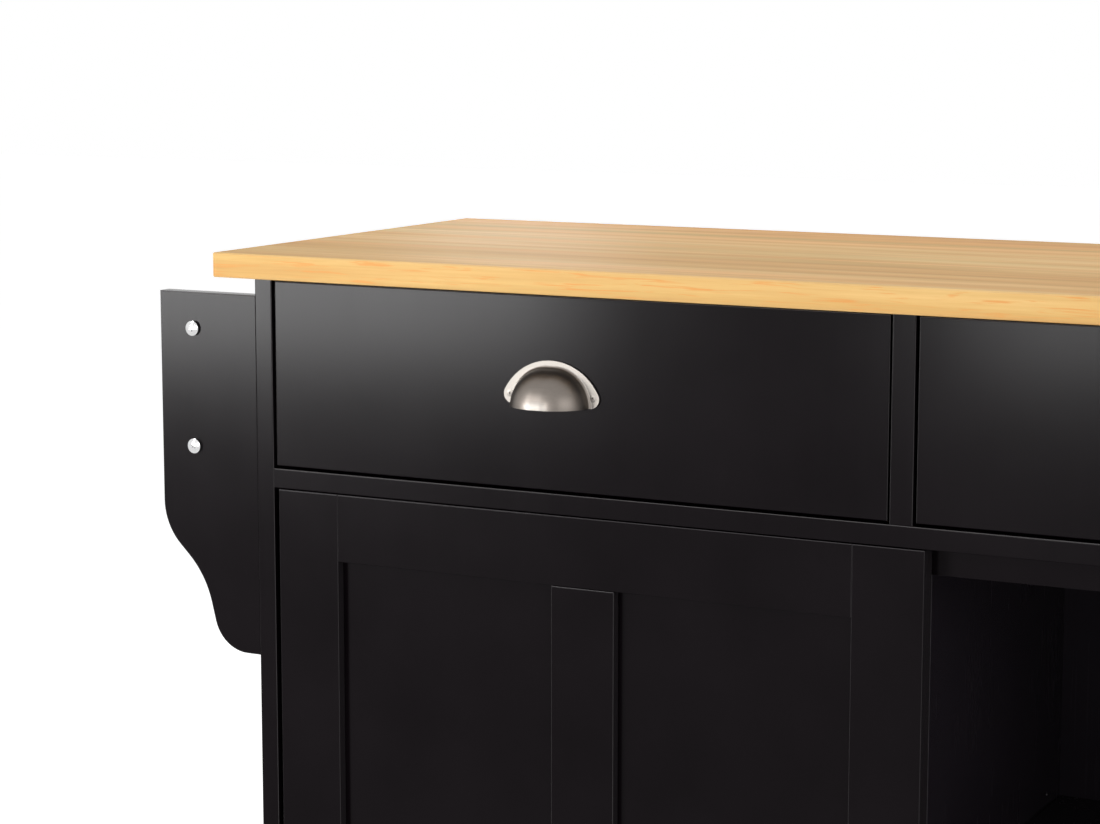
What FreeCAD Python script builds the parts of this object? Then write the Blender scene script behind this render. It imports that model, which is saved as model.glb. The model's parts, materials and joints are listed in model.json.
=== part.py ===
"""Rolling kitchen island: two drawers over a sliding door cupboard, with a drop leaf behind.

Millimetres. The origin is on the floor under the middle of the whole object. X runs along the
worktop, -Y is the front with the drawers, and Z is up.
"""
import FreeCAD, Part
import math
import os

# Worktop and drop leaf, both of glued wood staves.
surface_height = 930.0
worktop_length = 1326.0
worktop_depth = 467.5
worktop_thickness = 22.5
worktop_arris = 1.0
front_overhang = 12.6
rear_overhang = 24.9
end_overhang = 37.0
leaf_depth = 305.0
leaf_gap = 2.0

# Cabinet boards.
board = 18.0
middle_board = 20.0
back_board = 12.0
board_arris = 1.0
drawer_bay_height = 174.0
stretcher_width = 60.0
stretcher_gap = 6.0
partition_setback = 49.0

# Adjustable shelves on plug-in supports.
shelf_board = 16.0
shelf_height = 300.0
shelf_setback = 56.0
shelf_side_gap = 1.0
support_rows = 3
support_pitch = 32.0
support_inset = 40.0
support_hole_radius = 2.5
support_hole_depth = 9.0
support_plate = 1.5
support_width = 8.0
support_drop = 9.0
pin_clearance = 0.05

# Drawers.
drawer_gap = 2.4
drawer_recess = 1.7
drawer_front_board = 18.0
drawer_side_board = 12.0
drawer_side_height = 120.0
drawer_side_lift = 14.0
drawer_rear_gap = 46.3
drawer_bottom_board = 4.0
drawer_bottom_lift = 10.0
groove_depth = 5.0

# Three-member drawer slides.
slide_space = 12.7
slide_height = 45.0
slide_sheet = 1.2
slide_flange = 8.6
slide_play = 0.35
slide_front_gap = 2.0

# Cup pull: a flat arch with a lobe at each foot, and a long quarter dome that bulges forward from it.
pull_offset = -12.2
pull_drop = 10.2
flange_height = 39.4
flange_arch_radius = 51.5
flange_lobe_radius = 8.4
flange_sheet = 2.0
cup_radius = 33.0
cup_half_width = 37.0
cup_sheet = 1.6
pull_screw_spread = 40.4
pull_screw_up = 9.0
pull_screw_radius = 1.8
pull_sink_radius = 3.3
pull_sink_depth = 1.5

# Sliding door: a frame with a centre slat over a thin panel.
door_board = 18.0
door_side_gap = 5.0
door_top_gap = 1.0
door_bottom_gap = 4.0
door_cover = 11.0
stile_width = 63.0
rail_width = 62.0
slat_width = 61.0
door_panel_board = 9.0
rabbet_width = 9.0
slat_joint = 0.4
knob_drop = 40.0
knob_radius = 15.0
knob_reach = 26.0
knob_neck_radius = 6.5
knob_rose_radius = 9.0
knob_rose_height = 2.5
knob_head = 12.0
knob_edge = 2.5

# Door track, hangers, wheels and floor guide.
track_gap = 1.0
track_width = 28.0
track_height = 24.0
track_sheet = 1.8
track_slot = 10.0
track_end_gap = 1.0
hanger_sheet = 2.5
hanger_width = 44.0
hanger_inset = 82.0
hanger_drop = 38.0
hanger_clearance = 3.0
hanger_web_margin = 3.5
door_wheel_radius = 7.0
door_wheel_width = 5.0
door_wheel_spread = 8.4
door_wheel_ride = 0.05
door_axle_radius = 2.0
running_clearance = 0.05
guide_fin = 3.0
guide_side_clearance = 0.8
guide_length = 30.0
guide_foot_width = 15.0
guide_foot_sheet = 2.0
guide_depth = 9.0
guide_bite = 7.0

# Hinges and folding supports of the drop leaf.
knuckle_radius = 3.5
hinge_pin_radius = 1.6
hinge_sheet = 1.5
hinge_width = 60.0
hinge_leaf = 22.0
hinge_count = 3
hinge_knuckles = 3
hinge_knuckle_gap = 0.2
hinge_inset = 150.0
strut_spread = 356.0
strut_length = 190.0
strut_drop = 92.0
strut_sheet = 5.0
strut_eye_radius = 6.0
strut_roller_radius = 4.8
strut_roller_width = 9.0
strut_pin_radius = 2.5
strut_ear = 2.5
strut_ear_gap = 0.3
strut_bracket_height = 70.0
strut_bracket_width = 40.0
strut_bracket_sheet = 2.5
channel_sheet = 2.0
channel_width = 16.0
channel_cheek = 8.0
channel_margin = 12.0
roller_clearance = 0.3

# Side racks: brackets with a scrolled edge, rods between them, and a shelf on the right.
bracket_board = 15.5
bracket_width = 105.5
bracket_height = 334.5
bracket_drop = 16.3
scroll_shoulder_radius = 57.0
scroll_slope = 13.0
scroll_hollow_radius = 90.0
scroll_neck = 18.0
scroll_toe_radius = 36.0
scroll_slope_angle = 46.0
scroll_neck_angle = 14.0
rod_radius = 8.0
rod_inset = 37.0
rod_drop = 33.5
rod_spacing = 109.7
rod_bore_depth = 14.0
screw_radius = 3.0
screw_head_radius = 6.4
screw_head_height = 3.8
screw_head_edge = 1.6
screw_clearance = 0.1
spice_shelf_board = 12.0
spice_shelf_below_rod = 38.0
spice_shelf_width = 96.0

# Casters.
caster_height = 68.0
caster_inset = 40.0
caster_plate_size = 50.0
caster_plate_corner = 6.0
caster_plate_sheet = 2.5
caster_wheel_radius = 25.0
caster_wheel_width = 20.0
caster_tread_width = 16.0
caster_trail = 16.0
caster_tread_edge = 3.0
caster_hub_radius = 8.0
caster_axle_radius = 3.0
caster_axle_head_radius = 5.0
caster_axle_head = 1.5
fork_sheet = 2.0
fork_side_clearance = 0.4
fork_top_radius = 19.0
fork_top_drop = 9.0
fork_boss_radius = 8.0
fork_race_radius = 15.0
fork_race_gap = 0.3
kingpin_radius = 4.0
kingpin_head_radius = 7.0
kingpin_head = 2.0
pedal_pivot_out = 34.0
pedal_pivot_up = 51.0
pedal_pin_radius = 2.0
pedal_boss_radius = 4.5
pedal_reach = 26.0
pedal_sheet = 2.5
pedal_lip = 6.0
pedal_side_clearance = 0.3
pedal_shoe_radius = 2.0
pedal_shoe_gap = 0.5
pedal_angle = 14.0

# One overrun serves every cut.
over = 1.0
snap = 0.01

# Places worked out from the sizes above.
body_half = worktop_length / 2 - end_overhang
body_depth = worktop_depth - front_overhang - rear_overhang
inner_half = body_half - board
middle_half = middle_board / 2
worktop_under = surface_height - worktop_thickness
deck_top = worktop_under - drawer_bay_height
deck_under = deck_top - board
bottom_under = caster_height
bottom_top = bottom_under + board
front_reach = max(front_overhang, cup_radius - drawer_recess, knob_reach)
rear_reach = worktop_depth - front_overhang + leaf_gap / 2 + knuckle_radius + worktop_thickness
front_y = (front_reach - rear_reach) / 2
rear_y = front_y + body_depth
back_inner_y = rear_y - back_board
worktop_front_y = front_y - front_overhang
worktop_rear_y = worktop_front_y + worktop_depth
hinge_y = worktop_rear_y + leaf_gap / 2
hinge_z = worktop_under - knuckle_radius
drawer_box_length = body_depth - drawer_recess - drawer_front_board - drawer_rear_gap - back_board
slide_length = drawer_box_length - slide_front_gap
door_rear_y = front_y + door_board
door_left = -inner_half + door_side_gap
door_right = middle_half + door_cover
door_top = deck_under - door_top_gap
door_bottom = bottom_top + door_bottom_gap
track_y = door_rear_y + track_gap + track_width / 2
track_under = deck_under - track_height
door_wheel_z = track_under + track_sheet + door_wheel_radius + door_wheel_ride
hanger_xs = [door_left + hanger_inset, door_right - hanger_inset]
bracket_top = worktop_under - bracket_drop
rod_x = body_half + bracket_width - rod_inset
rod_zs = [bracket_top - rod_drop, bracket_top - rod_drop - rod_spacing]
caster_x = body_half - caster_inset
caster_ys = [front_y + caster_inset, rear_y - caster_inset]
strut_y = hinge_y + knuckle_radius - channel_sheet - roller_clearance - strut_roller_radius
strut_z = hinge_z - strut_drop

X_AXIS = FreeCAD.Vector(1, 0, 0)
Y_AXIS = FreeCAD.Vector(0, 1, 0)
Z_AXIS = FreeCAD.Vector(0, 0, 1)
ORIGIN = FreeCAD.Vector(0, 0, 0)


def point(x, y, z):
    """A point of the model."""
    return FreeCAD.Vector(x, y, z)


def block(x_pair, y_pair, z_pair):
    """A board that spans the three pairs of limits, in either order."""
    lows = [min(pair) for pair in (x_pair, y_pair, z_pair)]
    sizes = [abs(pair[1] - pair[0]) for pair in (x_pair, y_pair, z_pair)]
    return Part.makeBox(*sizes, point(*lows))


def rod(radius, start, end):
    """A round bar from one point to another."""
    return Part.makeCylinder(radius, (end - start).Length, start, end - start)


def edges_in_plane(shape, axis, value):
    """The edges that lie wholly in the plane where one axis, 0, 1 or 2, has the value."""
    return [edge for edge in shape.Edges
            if all(abs(vertex.Point[axis] - value) < snap for vertex in edge.Vertexes)]


def soften_front(board_shape, y, radius):
    """Round the edges of the face that looks to the front at y."""
    return board_shape.makeFillet(radius, edges_in_plane(board_shape, 1, y))


def mirrored(shape):
    """The same piece on the other side of the middle of the island."""
    return shape.mirror(ORIGIN, X_AXIS)


def turned(shape, centre, axis, angle):
    """The piece turned about an axis through a point."""
    copy = shape.copy()
    copy.rotate(centre, axis, angle)
    return copy


def moved(shape, x, y, z):
    """The piece carried to another place."""
    copy = shape.copy()
    copy.translate(point(x, y, z))
    return copy


def prism(points, along):
    """A straight-sided outline carried along a vector."""
    return Part.Face(Part.makePolygon(points + points[:1])).extrude(along)


def save(name, *solids):
    """Write the solids of one node."""
    shape = solids[0] if len(solids) == 1 else Part.makeCompound(list(solids))
    shape.exportStep("parts/" + name + ".step")


def scrolled_edge(start, heading, moves):
    """A line of tangent straights and arcs in the XZ plane.

    The heading is an angle from straight down towards +X. Each move is (length,) for a straight
    or (radius, new heading) for an arc. It returns the edges and the point where they end.
    """
    edges = []
    here = start
    for move in moves:
        if len(move) == 1:
            away = math.radians(heading)
            there = here + point(math.sin(away), 0, -math.cos(away)) * move[0]
            edges.append(Part.LineSegment(here, there).toShape())
        else:
            radius, new_heading = move
            side = math.copysign(1, new_heading - heading)

            def on_arc(angle):
                """The point of the arc where the edge has this heading."""
                a, b = math.radians(heading), math.radians(angle)
                across = side * radius * (math.cos(a) - math.cos(b))
                down = side * radius * (math.sin(b) - math.sin(a))
                return here + point(across, 0, -down)

            middle = on_arc((heading + new_heading) / 2)
            there = on_arc(new_heading)
            edges.append(Part.Arc(here, middle, there).toShape())
            heading = new_heading
        here = there
    return edges, here


def make_worktop():
    """The worktop: one slab with softened arrises."""
    slab = block((-worktop_length / 2, worktop_length / 2), (worktop_front_y, worktop_rear_y),
                 (worktop_under, surface_height))
    return slab.makeChamfer(worktop_arris, slab.Edges)


def support_places():
    """Places of the shelf support holes: (wall face x, direction into the wall, y)."""
    walls = [(-inner_half, -1), (-middle_half, 1), (middle_half, -1), (inner_half, 1)]
    shelf_front = front_y + shelf_setback
    ys = [shelf_front + support_inset, back_inner_y - support_inset]
    return [(x, into, y) for x, into in walls for y in ys]


def support_holes():
    """The blind holes of all shelf supports, as one tool."""
    holes = []
    for x, into, y in support_places():
        for row in range(support_rows):
            z = bottom_top + shelf_height - support_drop / 2
            z += (row - (support_rows - 1) / 2) * support_pitch
            holes.append(rod(support_hole_radius, point(x - into * over, y, z),
                             point(x + into * support_hole_depth, y, z)))
    return Part.makeCompound(holes)


def make_side_panel(sign):
    """A side panel, full depth, drilled for the shelf supports."""
    panel = block((sign * body_half, sign * inner_half), (front_y, rear_y),
                  (bottom_under, worktop_under))
    return soften_front(panel, front_y, board_arris).cut(support_holes())


def make_centre_partition():
    """The partition between the two compartments, set back to let the door pass."""
    face_y = front_y + partition_setback
    panel = block((-middle_half, middle_half), (face_y, back_inner_y), (bottom_top, deck_under))
    return soften_front(panel, face_y, board_arris).cut(support_holes())


def stretcher_spans():
    """The front and rear limits of the two stretchers."""
    front = front_y + drawer_recess + drawer_front_board + stretcher_gap
    return [(front, front + stretcher_width), (back_inner_y - stretcher_width, back_inner_y)]


def make_stretchers():
    """Two flat boards under the worktop that tie the side panels together."""
    return [block((-inner_half, inner_half), span, (worktop_under - board, worktop_under))
            for span in stretcher_spans()]


def make_drawer_divider():
    """The board between the drawers, notched for the stretchers."""
    panel = block((-middle_half, middle_half), (front_y, back_inner_y), (deck_top, worktop_under))
    panel = soften_front(panel, front_y, board_arris)
    for front, rear in stretcher_spans():
        panel = panel.cut(block((-middle_half - over, middle_half + over), (front, rear),
                                (worktop_under - board, worktop_under + over)))
    return panel


def make_deck():
    """The board under the drawers."""
    deck = block((-inner_half, inner_half), (front_y, back_inner_y), (deck_under, deck_top))
    return soften_front(deck, front_y, board_arris)


def make_bottom_panel():
    """The lowest board, which carries the casters."""
    panel = block((-inner_half, inner_half), (front_y, back_inner_y), (bottom_under, bottom_top))
    return soften_front(panel, front_y, board_arris)


def make_back_panel():
    """The back, let in between the side panels."""
    return block((-inner_half, inner_half), (back_inner_y, rear_y), (bottom_under, worktop_under))


def make_shelf(sign):
    """One adjustable shelf, a little narrower than its compartment."""
    front = front_y + shelf_setback
    xs = (sign * (middle_half + support_plate + shelf_side_gap),
          sign * (inner_half - support_plate - shelf_side_gap))
    top = bottom_top + shelf_height + shelf_board
    shelf = block(xs, (front, back_inner_y - shelf_side_gap), (bottom_top + shelf_height, top))
    return soften_front(shelf, front, board_arris)


def make_shelf_supports():
    """Eight plug-in supports: a stud in the wall, a plate on it and a tab under the shelf."""
    supports = []
    z = bottom_top + shelf_height
    for x, into, y in support_places():
        sides = (y - support_width / 2, y + support_width / 2)
        plate = block((x, x - into * support_plate), sides, (z - support_drop, z))
        tab = block((x, x - into * support_drop), sides, (z - support_plate, z))
        stud_z = z - support_drop / 2
        stud = rod(support_hole_radius - pin_clearance, point(x, y, stud_z),
                   point(x + into * (support_hole_depth - over), y, stud_z))
        supports.append(plate.fuse([tab, stud]))
    return supports


def make_door_track():
    """The track under the deck, along both compartments: a channel with lips either side of a slot."""
    half = inner_half - track_end_gap
    top = track_under + track_height
    outer = block((-half, half), (track_y - track_width / 2, track_y + track_width / 2),
                  (track_under, top))
    inner = block((-half - over, half + over),
                  (track_y - track_width / 2 + track_sheet, track_y + track_width / 2 - track_sheet),
                  (track_under + track_sheet, top - track_sheet))
    slot = block((-half - over, half + over), (track_y - track_slot / 2, track_y + track_slot / 2),
                 (track_under - over, track_under + track_sheet + over))
    return outer.cut([inner, slot])


def make_floor_guide():
    """A fin on the bottom panel that runs in the groove along the door's lower edge."""
    middle = front_y + door_board / 2
    xs = (-guide_length / 2, guide_length / 2)
    foot = block(xs, (middle - guide_foot_width / 2, middle + guide_foot_width / 2),
                 (bottom_top, bottom_top + guide_foot_sheet))
    fin = block(xs, (middle - guide_fin / 2, middle + guide_fin / 2),
                (bottom_top, door_bottom + guide_bite))
    return foot.fuse(fin)


def guide_groove():
    """The groove in the lower edge of the door."""
    middle = front_y + door_board / 2
    half = guide_fin / 2 + guide_side_clearance
    return block((door_left - over, door_right + over), (middle - half, middle + half),
                 (door_bottom - over, door_bottom + guide_depth))


def panel_rabbet():
    """The space that the door's panel takes at the back of the frame."""
    return block((door_left + stile_width - rabbet_width, door_right - stile_width + rabbet_width),
                 (door_rear_y - door_panel_board, door_rear_y + over),
                 (door_bottom + rail_width - rabbet_width, door_top - rail_width + rabbet_width))


def make_door_stiles():
    """The upright members at the two sides of the door."""
    stiles = []
    for left in (door_left, door_right - stile_width):
        stile = block((left, left + stile_width), (front_y, door_rear_y), (door_bottom, door_top))
        stile = soften_front(stile, front_y, board_arris)
        stiles.append(stile.cut([guide_groove(), panel_rabbet()]))
    return stiles


def make_door_rails():
    """The members between the stiles, at the top and the bottom of the door."""
    rails = []
    for low in (door_bottom, door_top - rail_width):
        rail = block((door_left + stile_width, door_right - stile_width), (front_y, door_rear_y),
                     (low, low + rail_width))
        rail = soften_front(rail, front_y, board_arris)
        rails.append(rail.cut([guide_groove(), panel_rabbet()]))
    return rails


def make_door_slat():
    """The upright slat in the middle of the door, in front of the panel."""
    middle = (door_left + door_right) / 2
    slat = block((middle - slat_width / 2, middle + slat_width / 2),
                 (front_y, door_rear_y - door_panel_board),
                 (door_bottom + rail_width + slat_joint, door_top - rail_width - slat_joint))
    return soften_front(slat, front_y, board_arris)


def make_door_panel():
    """The thin panel that fills the frame from behind."""
    return panel_rabbet().common(block((door_left, door_right), (front_y, door_rear_y),
                                       (door_bottom, door_top)))


def make_knob():
    """A turned knob on the door's right stile: rose, neck and a disc with bevelled edges."""
    rose = rod(knob_rose_radius, ORIGIN, -Y_AXIS * knob_rose_height)
    neck = rod(knob_neck_radius, ORIGIN, -Y_AXIS * (knob_reach - knob_edge))
    disc = rod(knob_radius, -Y_AXIS * (knob_reach - knob_head), -Y_AXIS * knob_reach)
    disc = disc.makeChamfer(knob_edge, [edge for edge in disc.Edges if edge.Closed])
    knob = rose.fuse([neck, disc])
    return moved(knob, door_right - stile_width / 2, front_y,
                 (door_bottom + door_top) / 2 - knob_drop)


def make_hangers():
    """Cranked plates that carry the door from its wheels."""
    hangers = []
    for x in hanger_xs:
        xs = (x - hanger_width / 2, x + hanger_width / 2)
        shelf_z = track_under - hanger_clearance
        foot = block(xs, (door_rear_y, door_rear_y + hanger_sheet), (shelf_z - hanger_drop, shelf_z))
        arm = block(xs, (door_rear_y, track_y + hanger_sheet / 2), (shelf_z - hanger_sheet, shelf_z))
        web = block(xs, (track_y - hanger_sheet / 2, track_y + hanger_sheet / 2),
                    (shelf_z - hanger_sheet, door_wheel_z + door_axle_radius + hanger_web_margin))
        hole = rod(door_axle_radius + running_clearance, point(x, track_y - hanger_sheet, door_wheel_z),
                   point(x, track_y + hanger_sheet, door_wheel_z))
        hangers.append(foot.fuse([arm, web]).cut(hole))
    return hangers


def make_door_wheels(x):
    """Two grooved wheels on one axle, one on each lip of the track."""
    reach = door_wheel_spread + door_wheel_width / 2
    pieces = [rod(door_axle_radius, point(x, track_y - reach, door_wheel_z),
                  point(x, track_y + reach, door_wheel_z))]
    for sign in (-1, 1):
        centre = track_y + sign * door_wheel_spread
        pieces.append(rod(door_wheel_radius, point(x, centre - door_wheel_width / 2, door_wheel_z),
                          point(x, centre + door_wheel_width / 2, door_wheel_z)))
    return pieces[0].fuse(pieces[1:])


def drawer_limits(sign):
    """The bay of a drawer as (lower x, upper x)."""
    return tuple(sorted((sign * middle_half, sign * inner_half)))


def make_drawer_front(sign):
    """The inset drawer front with a groove for the bottom."""
    low, high = drawer_limits(sign)
    face_y = front_y + drawer_recess
    rear = face_y + drawer_front_board
    front = block((low + drawer_gap, high - drawer_gap), (face_y, rear),
                  (deck_top + drawer_gap, worktop_under - drawer_gap))
    front = soften_front(front, face_y, board_arris)
    return front.cut(drawer_bottom_space(sign))


def drawer_box(sign):
    """The outer limits of the drawer box: x pair, y pair, z pair."""
    low, high = drawer_limits(sign)
    start = front_y + drawer_recess + drawer_front_board
    base = deck_top + drawer_side_lift
    return ((low + slide_space, high - slide_space), (start, start + drawer_box_length),
            (base, base + drawer_side_height))


def drawer_bottom_space(sign):
    """The space that the drawer bottom fills, in its grooves."""
    xs, ys, zs = drawer_box(sign)
    low = zs[0] + drawer_bottom_lift
    edge = drawer_side_board - groove_depth
    return block((xs[0] + edge, xs[1] - edge), (ys[0] - groove_depth, ys[1] - edge),
                 (low, low + drawer_bottom_board))


def make_drawer_sides(sign):
    """The two sides of a drawer box."""
    xs, ys, zs = drawer_box(sign)
    spans = [(xs[0], xs[0] + drawer_side_board), (xs[1] - drawer_side_board, xs[1])]
    return [block(span, ys, zs).cut(drawer_bottom_space(sign)) for span in spans]


def make_drawer_back(sign):
    """The back of a drawer box, between its sides."""
    xs, ys, zs = drawer_box(sign)
    back = block((xs[0] + drawer_side_board, xs[1] - drawer_side_board),
                 (ys[1] - drawer_side_board, ys[1]), zs)
    return back.cut(drawer_bottom_space(sign))


def flange_outline():
    """The flange from the front: a wide arch that runs into a lobe at each foot, on a straight base."""
    arch = point(0, 0, flange_height - flange_arch_radius)
    lobe_reach = flange_arch_radius - flange_lobe_radius
    lobe_rise = flange_lobe_radius - arch.z
    lobe = point(math.sqrt(lobe_reach ** 2 - lobe_rise ** 2), 0, flange_lobe_radius)
    out = (lobe - arch).normalize()
    foot = point(lobe.x, 0, 0)
    side = lobe + (out - Z_AXIS).normalize() * flange_lobe_radius
    touch = arch + out * flange_arch_radius
    left_foot, left_side, left_touch = [point(-p.x, 0, p.z) for p in (foot, side, touch)]
    return [Part.LineSegment(left_foot, foot).toShape(), Part.Arc(foot, side, touch).toShape(),
            Part.Arc(touch, point(0, 0, flange_height), left_touch).toShape(),
            Part.Arc(left_touch, left_side, left_foot).toShape()]


def make_flange():
    """The flat flange, with a countersunk screw hole in each lobe."""
    flange = Part.Face(Part.Wire(flange_outline())).extrude(-Y_AXIS * flange_sheet)
    front, behind = -Y_AXIS * flange_sheet, Y_AXIS * over
    cuts = []
    for side in (-1, 1):
        hole = point(side * pull_screw_spread, 0, pull_screw_up)
        cuts.append(rod(pull_screw_radius, hole + front - behind, hole + behind))
        cuts.append(Part.makeCone(pull_sink_radius, pull_screw_radius, pull_sink_depth,
                                  hole + front, Y_AXIS))
    return flange.cut(cuts)


def round_bar(radius):
    """A bar along X with round ends, about the middle of the flange's lower edge."""
    spread = cup_half_width - cup_radius
    ends = [point(-spread, 0, 0), point(spread, 0, 0)]
    return rod(radius, *ends).fuse([Part.makeSphere(radius, end) for end in ends])


def make_pull(sign):
    """The cup pull, fixed to the drawer front left of its middle.

    The cup is the upper front quarter of a bar with round ends, hollow and open behind and below.
    """
    side = cup_half_width + over
    quarter = block((-side, side), (-side, 0), (0, side))
    pull = make_flange().fuse(round_bar(cup_radius).common(quarter))
    pull = pull.cut(round_bar(cup_radius - cup_sheet))
    low, high = drawer_limits(sign)
    middle_z = (deck_top + worktop_under) / 2
    return moved(pull, (low + high) / 2 + pull_offset, front_y + drawer_recess, middle_z - pull_drop)


def slide_member(x, into, depth, height, start):
    """One channel of a drawer slide: web at x, flanges running into the slide by the depth."""
    middle = drawer_box(1)[2]
    z = (middle[0] + middle[1]) / 2
    ys = (start, start + slide_length)
    web = block((x, x + into * depth), ys, (z - height / 2, z + height / 2))
    space = block((x + into * slide_sheet, x + into * (depth + over)), (ys[0] - over, ys[1] + over),
                  (z - height / 2 + slide_sheet, z + height / 2 - slide_sheet))
    return web.cut(space)


def slide_sides(sign):
    """The wall face x and the direction from the wall into the bay, for both slides of a bay."""
    low, high = drawer_limits(sign)
    return [(low, 1), (high, -1)]


def slide_start():
    """The front end of the slides."""
    return front_y + drawer_recess + drawer_front_board + slide_front_gap


def make_slide_outers():
    """The members fixed to the cabinet, one pair for each drawer."""
    return [slide_member(x, into, slide_flange, slide_height, slide_start())
            for sign in (-1, 1) for x, into in slide_sides(sign)]


def make_slide_middles(sign):
    """The middle members of one drawer's slides."""
    height = slide_height - 2 * (slide_sheet + slide_play)
    inset = slide_sheet + slide_play
    return [slide_member(x + into * inset, into, slide_flange, height, slide_start())
            for x, into in slide_sides(sign)]


def make_slide_inners(sign):
    """The members fixed to the drawer, facing the others."""
    height = slide_height - 4 * (slide_sheet + slide_play)
    return [slide_member(x + into * slide_space, -into, slide_flange, height, slide_start())
            for x, into in slide_sides(sign)]


def hinge_places():
    """The middles of the leaf hinges along X."""
    half = worktop_length / 2 - hinge_inset
    return [-half + 2 * half * index / (hinge_count - 1) for index in range(hinge_count)]


def knuckles(x, first):
    """Every second knuckle of a hinge, starting from the first or the second."""
    pitch = hinge_width / hinge_knuckles
    pieces = []
    for index in range(first, hinge_knuckles, 2):
        start = x - hinge_width / 2 + index * pitch + hinge_knuckle_gap / 2
        pieces.append(rod(knuckle_radius, point(start, hinge_y, hinge_z),
                          point(start + pitch - hinge_knuckle_gap, hinge_y, hinge_z)))
    return pieces


def make_hinge_fixed():
    """The hinge plates under the worktop, each with its pin."""
    hinges = []
    for x in hinge_places():
        plate = block((x - hinge_width / 2, x + hinge_width / 2), (hinge_y - hinge_leaf, hinge_y),
                      (worktop_under - hinge_sheet, worktop_under))
        gaps = [rod(knuckle_radius + hinge_knuckle_gap, start, end) for start, end in knuckle_gaps(x, 1)]
        barrel = knuckles(x, 0)
        pin = rod(hinge_pin_radius, point(x - hinge_width / 2, hinge_y, hinge_z),
                  point(x + hinge_width / 2, hinge_y, hinge_z))
        hinges.append(plate.cut(gaps).fuse(barrel + [pin]))
    return hinges


def knuckle_gaps(x, first):
    """The stretches of the axis that the other plate's knuckles take."""
    pitch = hinge_width / hinge_knuckles
    spans = []
    for index in range(first, hinge_knuckles, 2):
        start = x - hinge_width / 2 + index * pitch - hinge_knuckle_gap / 2
        spans.append((point(start, hinge_y, hinge_z), point(start + pitch + hinge_knuckle_gap,
                                                            hinge_y, hinge_z)))
    return spans


def make_hinge_moving():
    """The hinge plates on the leaf, shown with the leaf hanging."""
    hinges = []
    for x in hinge_places():
        inner = hinge_y + knuckle_radius
        plate = block((x - hinge_width / 2, x + hinge_width / 2), (inner - hinge_sheet, inner),
                      (hinge_z - hinge_leaf, hinge_z))
        gaps = [rod(knuckle_radius + hinge_knuckle_gap, start, end) for start, end in knuckle_gaps(x, 0)]
        bore = rod(hinge_pin_radius + running_clearance, point(x - hinge_width, hinge_y, hinge_z),
                   point(x + hinge_width, hinge_y, hinge_z))
        hinges.append(plate.cut(gaps).fuse(knuckles(x, 1)).cut(bore))
    return hinges


def make_leaf():
    """The drop leaf, hanging behind the cabinet with its underside towards it."""
    inner = hinge_y + knuckle_radius
    top = hinge_z - leaf_gap / 2
    slab = block((-worktop_length / 2, worktop_length / 2), (inner, inner + worktop_thickness),
                 (top - leaf_depth, top))
    return slab.makeChamfer(worktop_arris, slab.Edges)


def strut_xs():
    """The places of the two leaf supports along X."""
    return [-strut_spread, strut_spread]


def make_struts():
    """Flat bars that swing out under the leaf, each with an eye above and a roller below."""
    struts = []
    for x in strut_xs():
        xs = (x - strut_sheet / 2, x + strut_sheet / 2)
        foot = strut_z - strut_length
        bar = block(xs, (strut_y - strut_roller_radius, strut_y + strut_roller_radius), (foot, strut_z))
        eye = rod(strut_eye_radius, point(xs[0], strut_y, strut_z), point(xs[1], strut_y, strut_z))
        roller = rod(strut_roller_radius, point(x - strut_roller_width / 2, strut_y, foot),
                     point(x + strut_roller_width / 2, strut_y, foot))
        bore = rod(strut_pin_radius + running_clearance, point(x - strut_sheet, strut_y, strut_z),
                   point(x + strut_sheet, strut_y, strut_z))
        struts.append(bar.fuse([eye, roller]).cut(bore))
    return struts


def make_strut_brackets():
    """Clevis brackets on the back panel, each with its pin."""
    brackets = []
    for x in strut_xs():
        plate = block((x - strut_bracket_width / 2, x + strut_bracket_width / 2),
                      (rear_y, rear_y + strut_bracket_sheet),
                      (strut_z - strut_bracket_height / 2, strut_z + strut_bracket_height / 2))
        pieces = []
        for side in (-1, 1):
            near = x + side * (strut_sheet / 2 + strut_ear_gap)
            far = near + side * strut_ear
            pieces.append(block((near, far), (rear_y, strut_y),
                                (strut_z - strut_eye_radius, strut_z + strut_eye_radius)))
            pieces.append(rod(strut_eye_radius, point(near, strut_y, strut_z),
                              point(far, strut_y, strut_z)))
        reach = strut_sheet / 2 + strut_ear_gap + strut_ear
        pieces.append(rod(strut_pin_radius, point(x - reach, strut_y, strut_z),
                          point(x + reach, strut_y, strut_z)))
        brackets.append(plate.fuse(pieces))
    return brackets


def make_strut_channels():
    """Open channels on the leaf's underside that the struts' rollers run in."""
    channels = []
    face = hinge_y + knuckle_radius
    rest = hinge_z - strut_z + strut_length
    raised = math.sqrt(strut_length ** 2 - (strut_drop - (hinge_y - strut_y)) ** 2)
    raised -= hinge_y - strut_y
    zs = (hinge_z - rest - channel_margin, hinge_z - raised + channel_margin)
    for x in strut_xs():
        half = channel_width / 2
        base = block((x - half, x + half), (face - channel_sheet, face), zs)
        cheeks = [block((x + side * (half - channel_sheet), x + side * half),
                        (face - channel_sheet - channel_cheek, face), zs) for side in (-1, 1)]
        channels.append(base.fuse(cheeks))
    return channels


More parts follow.
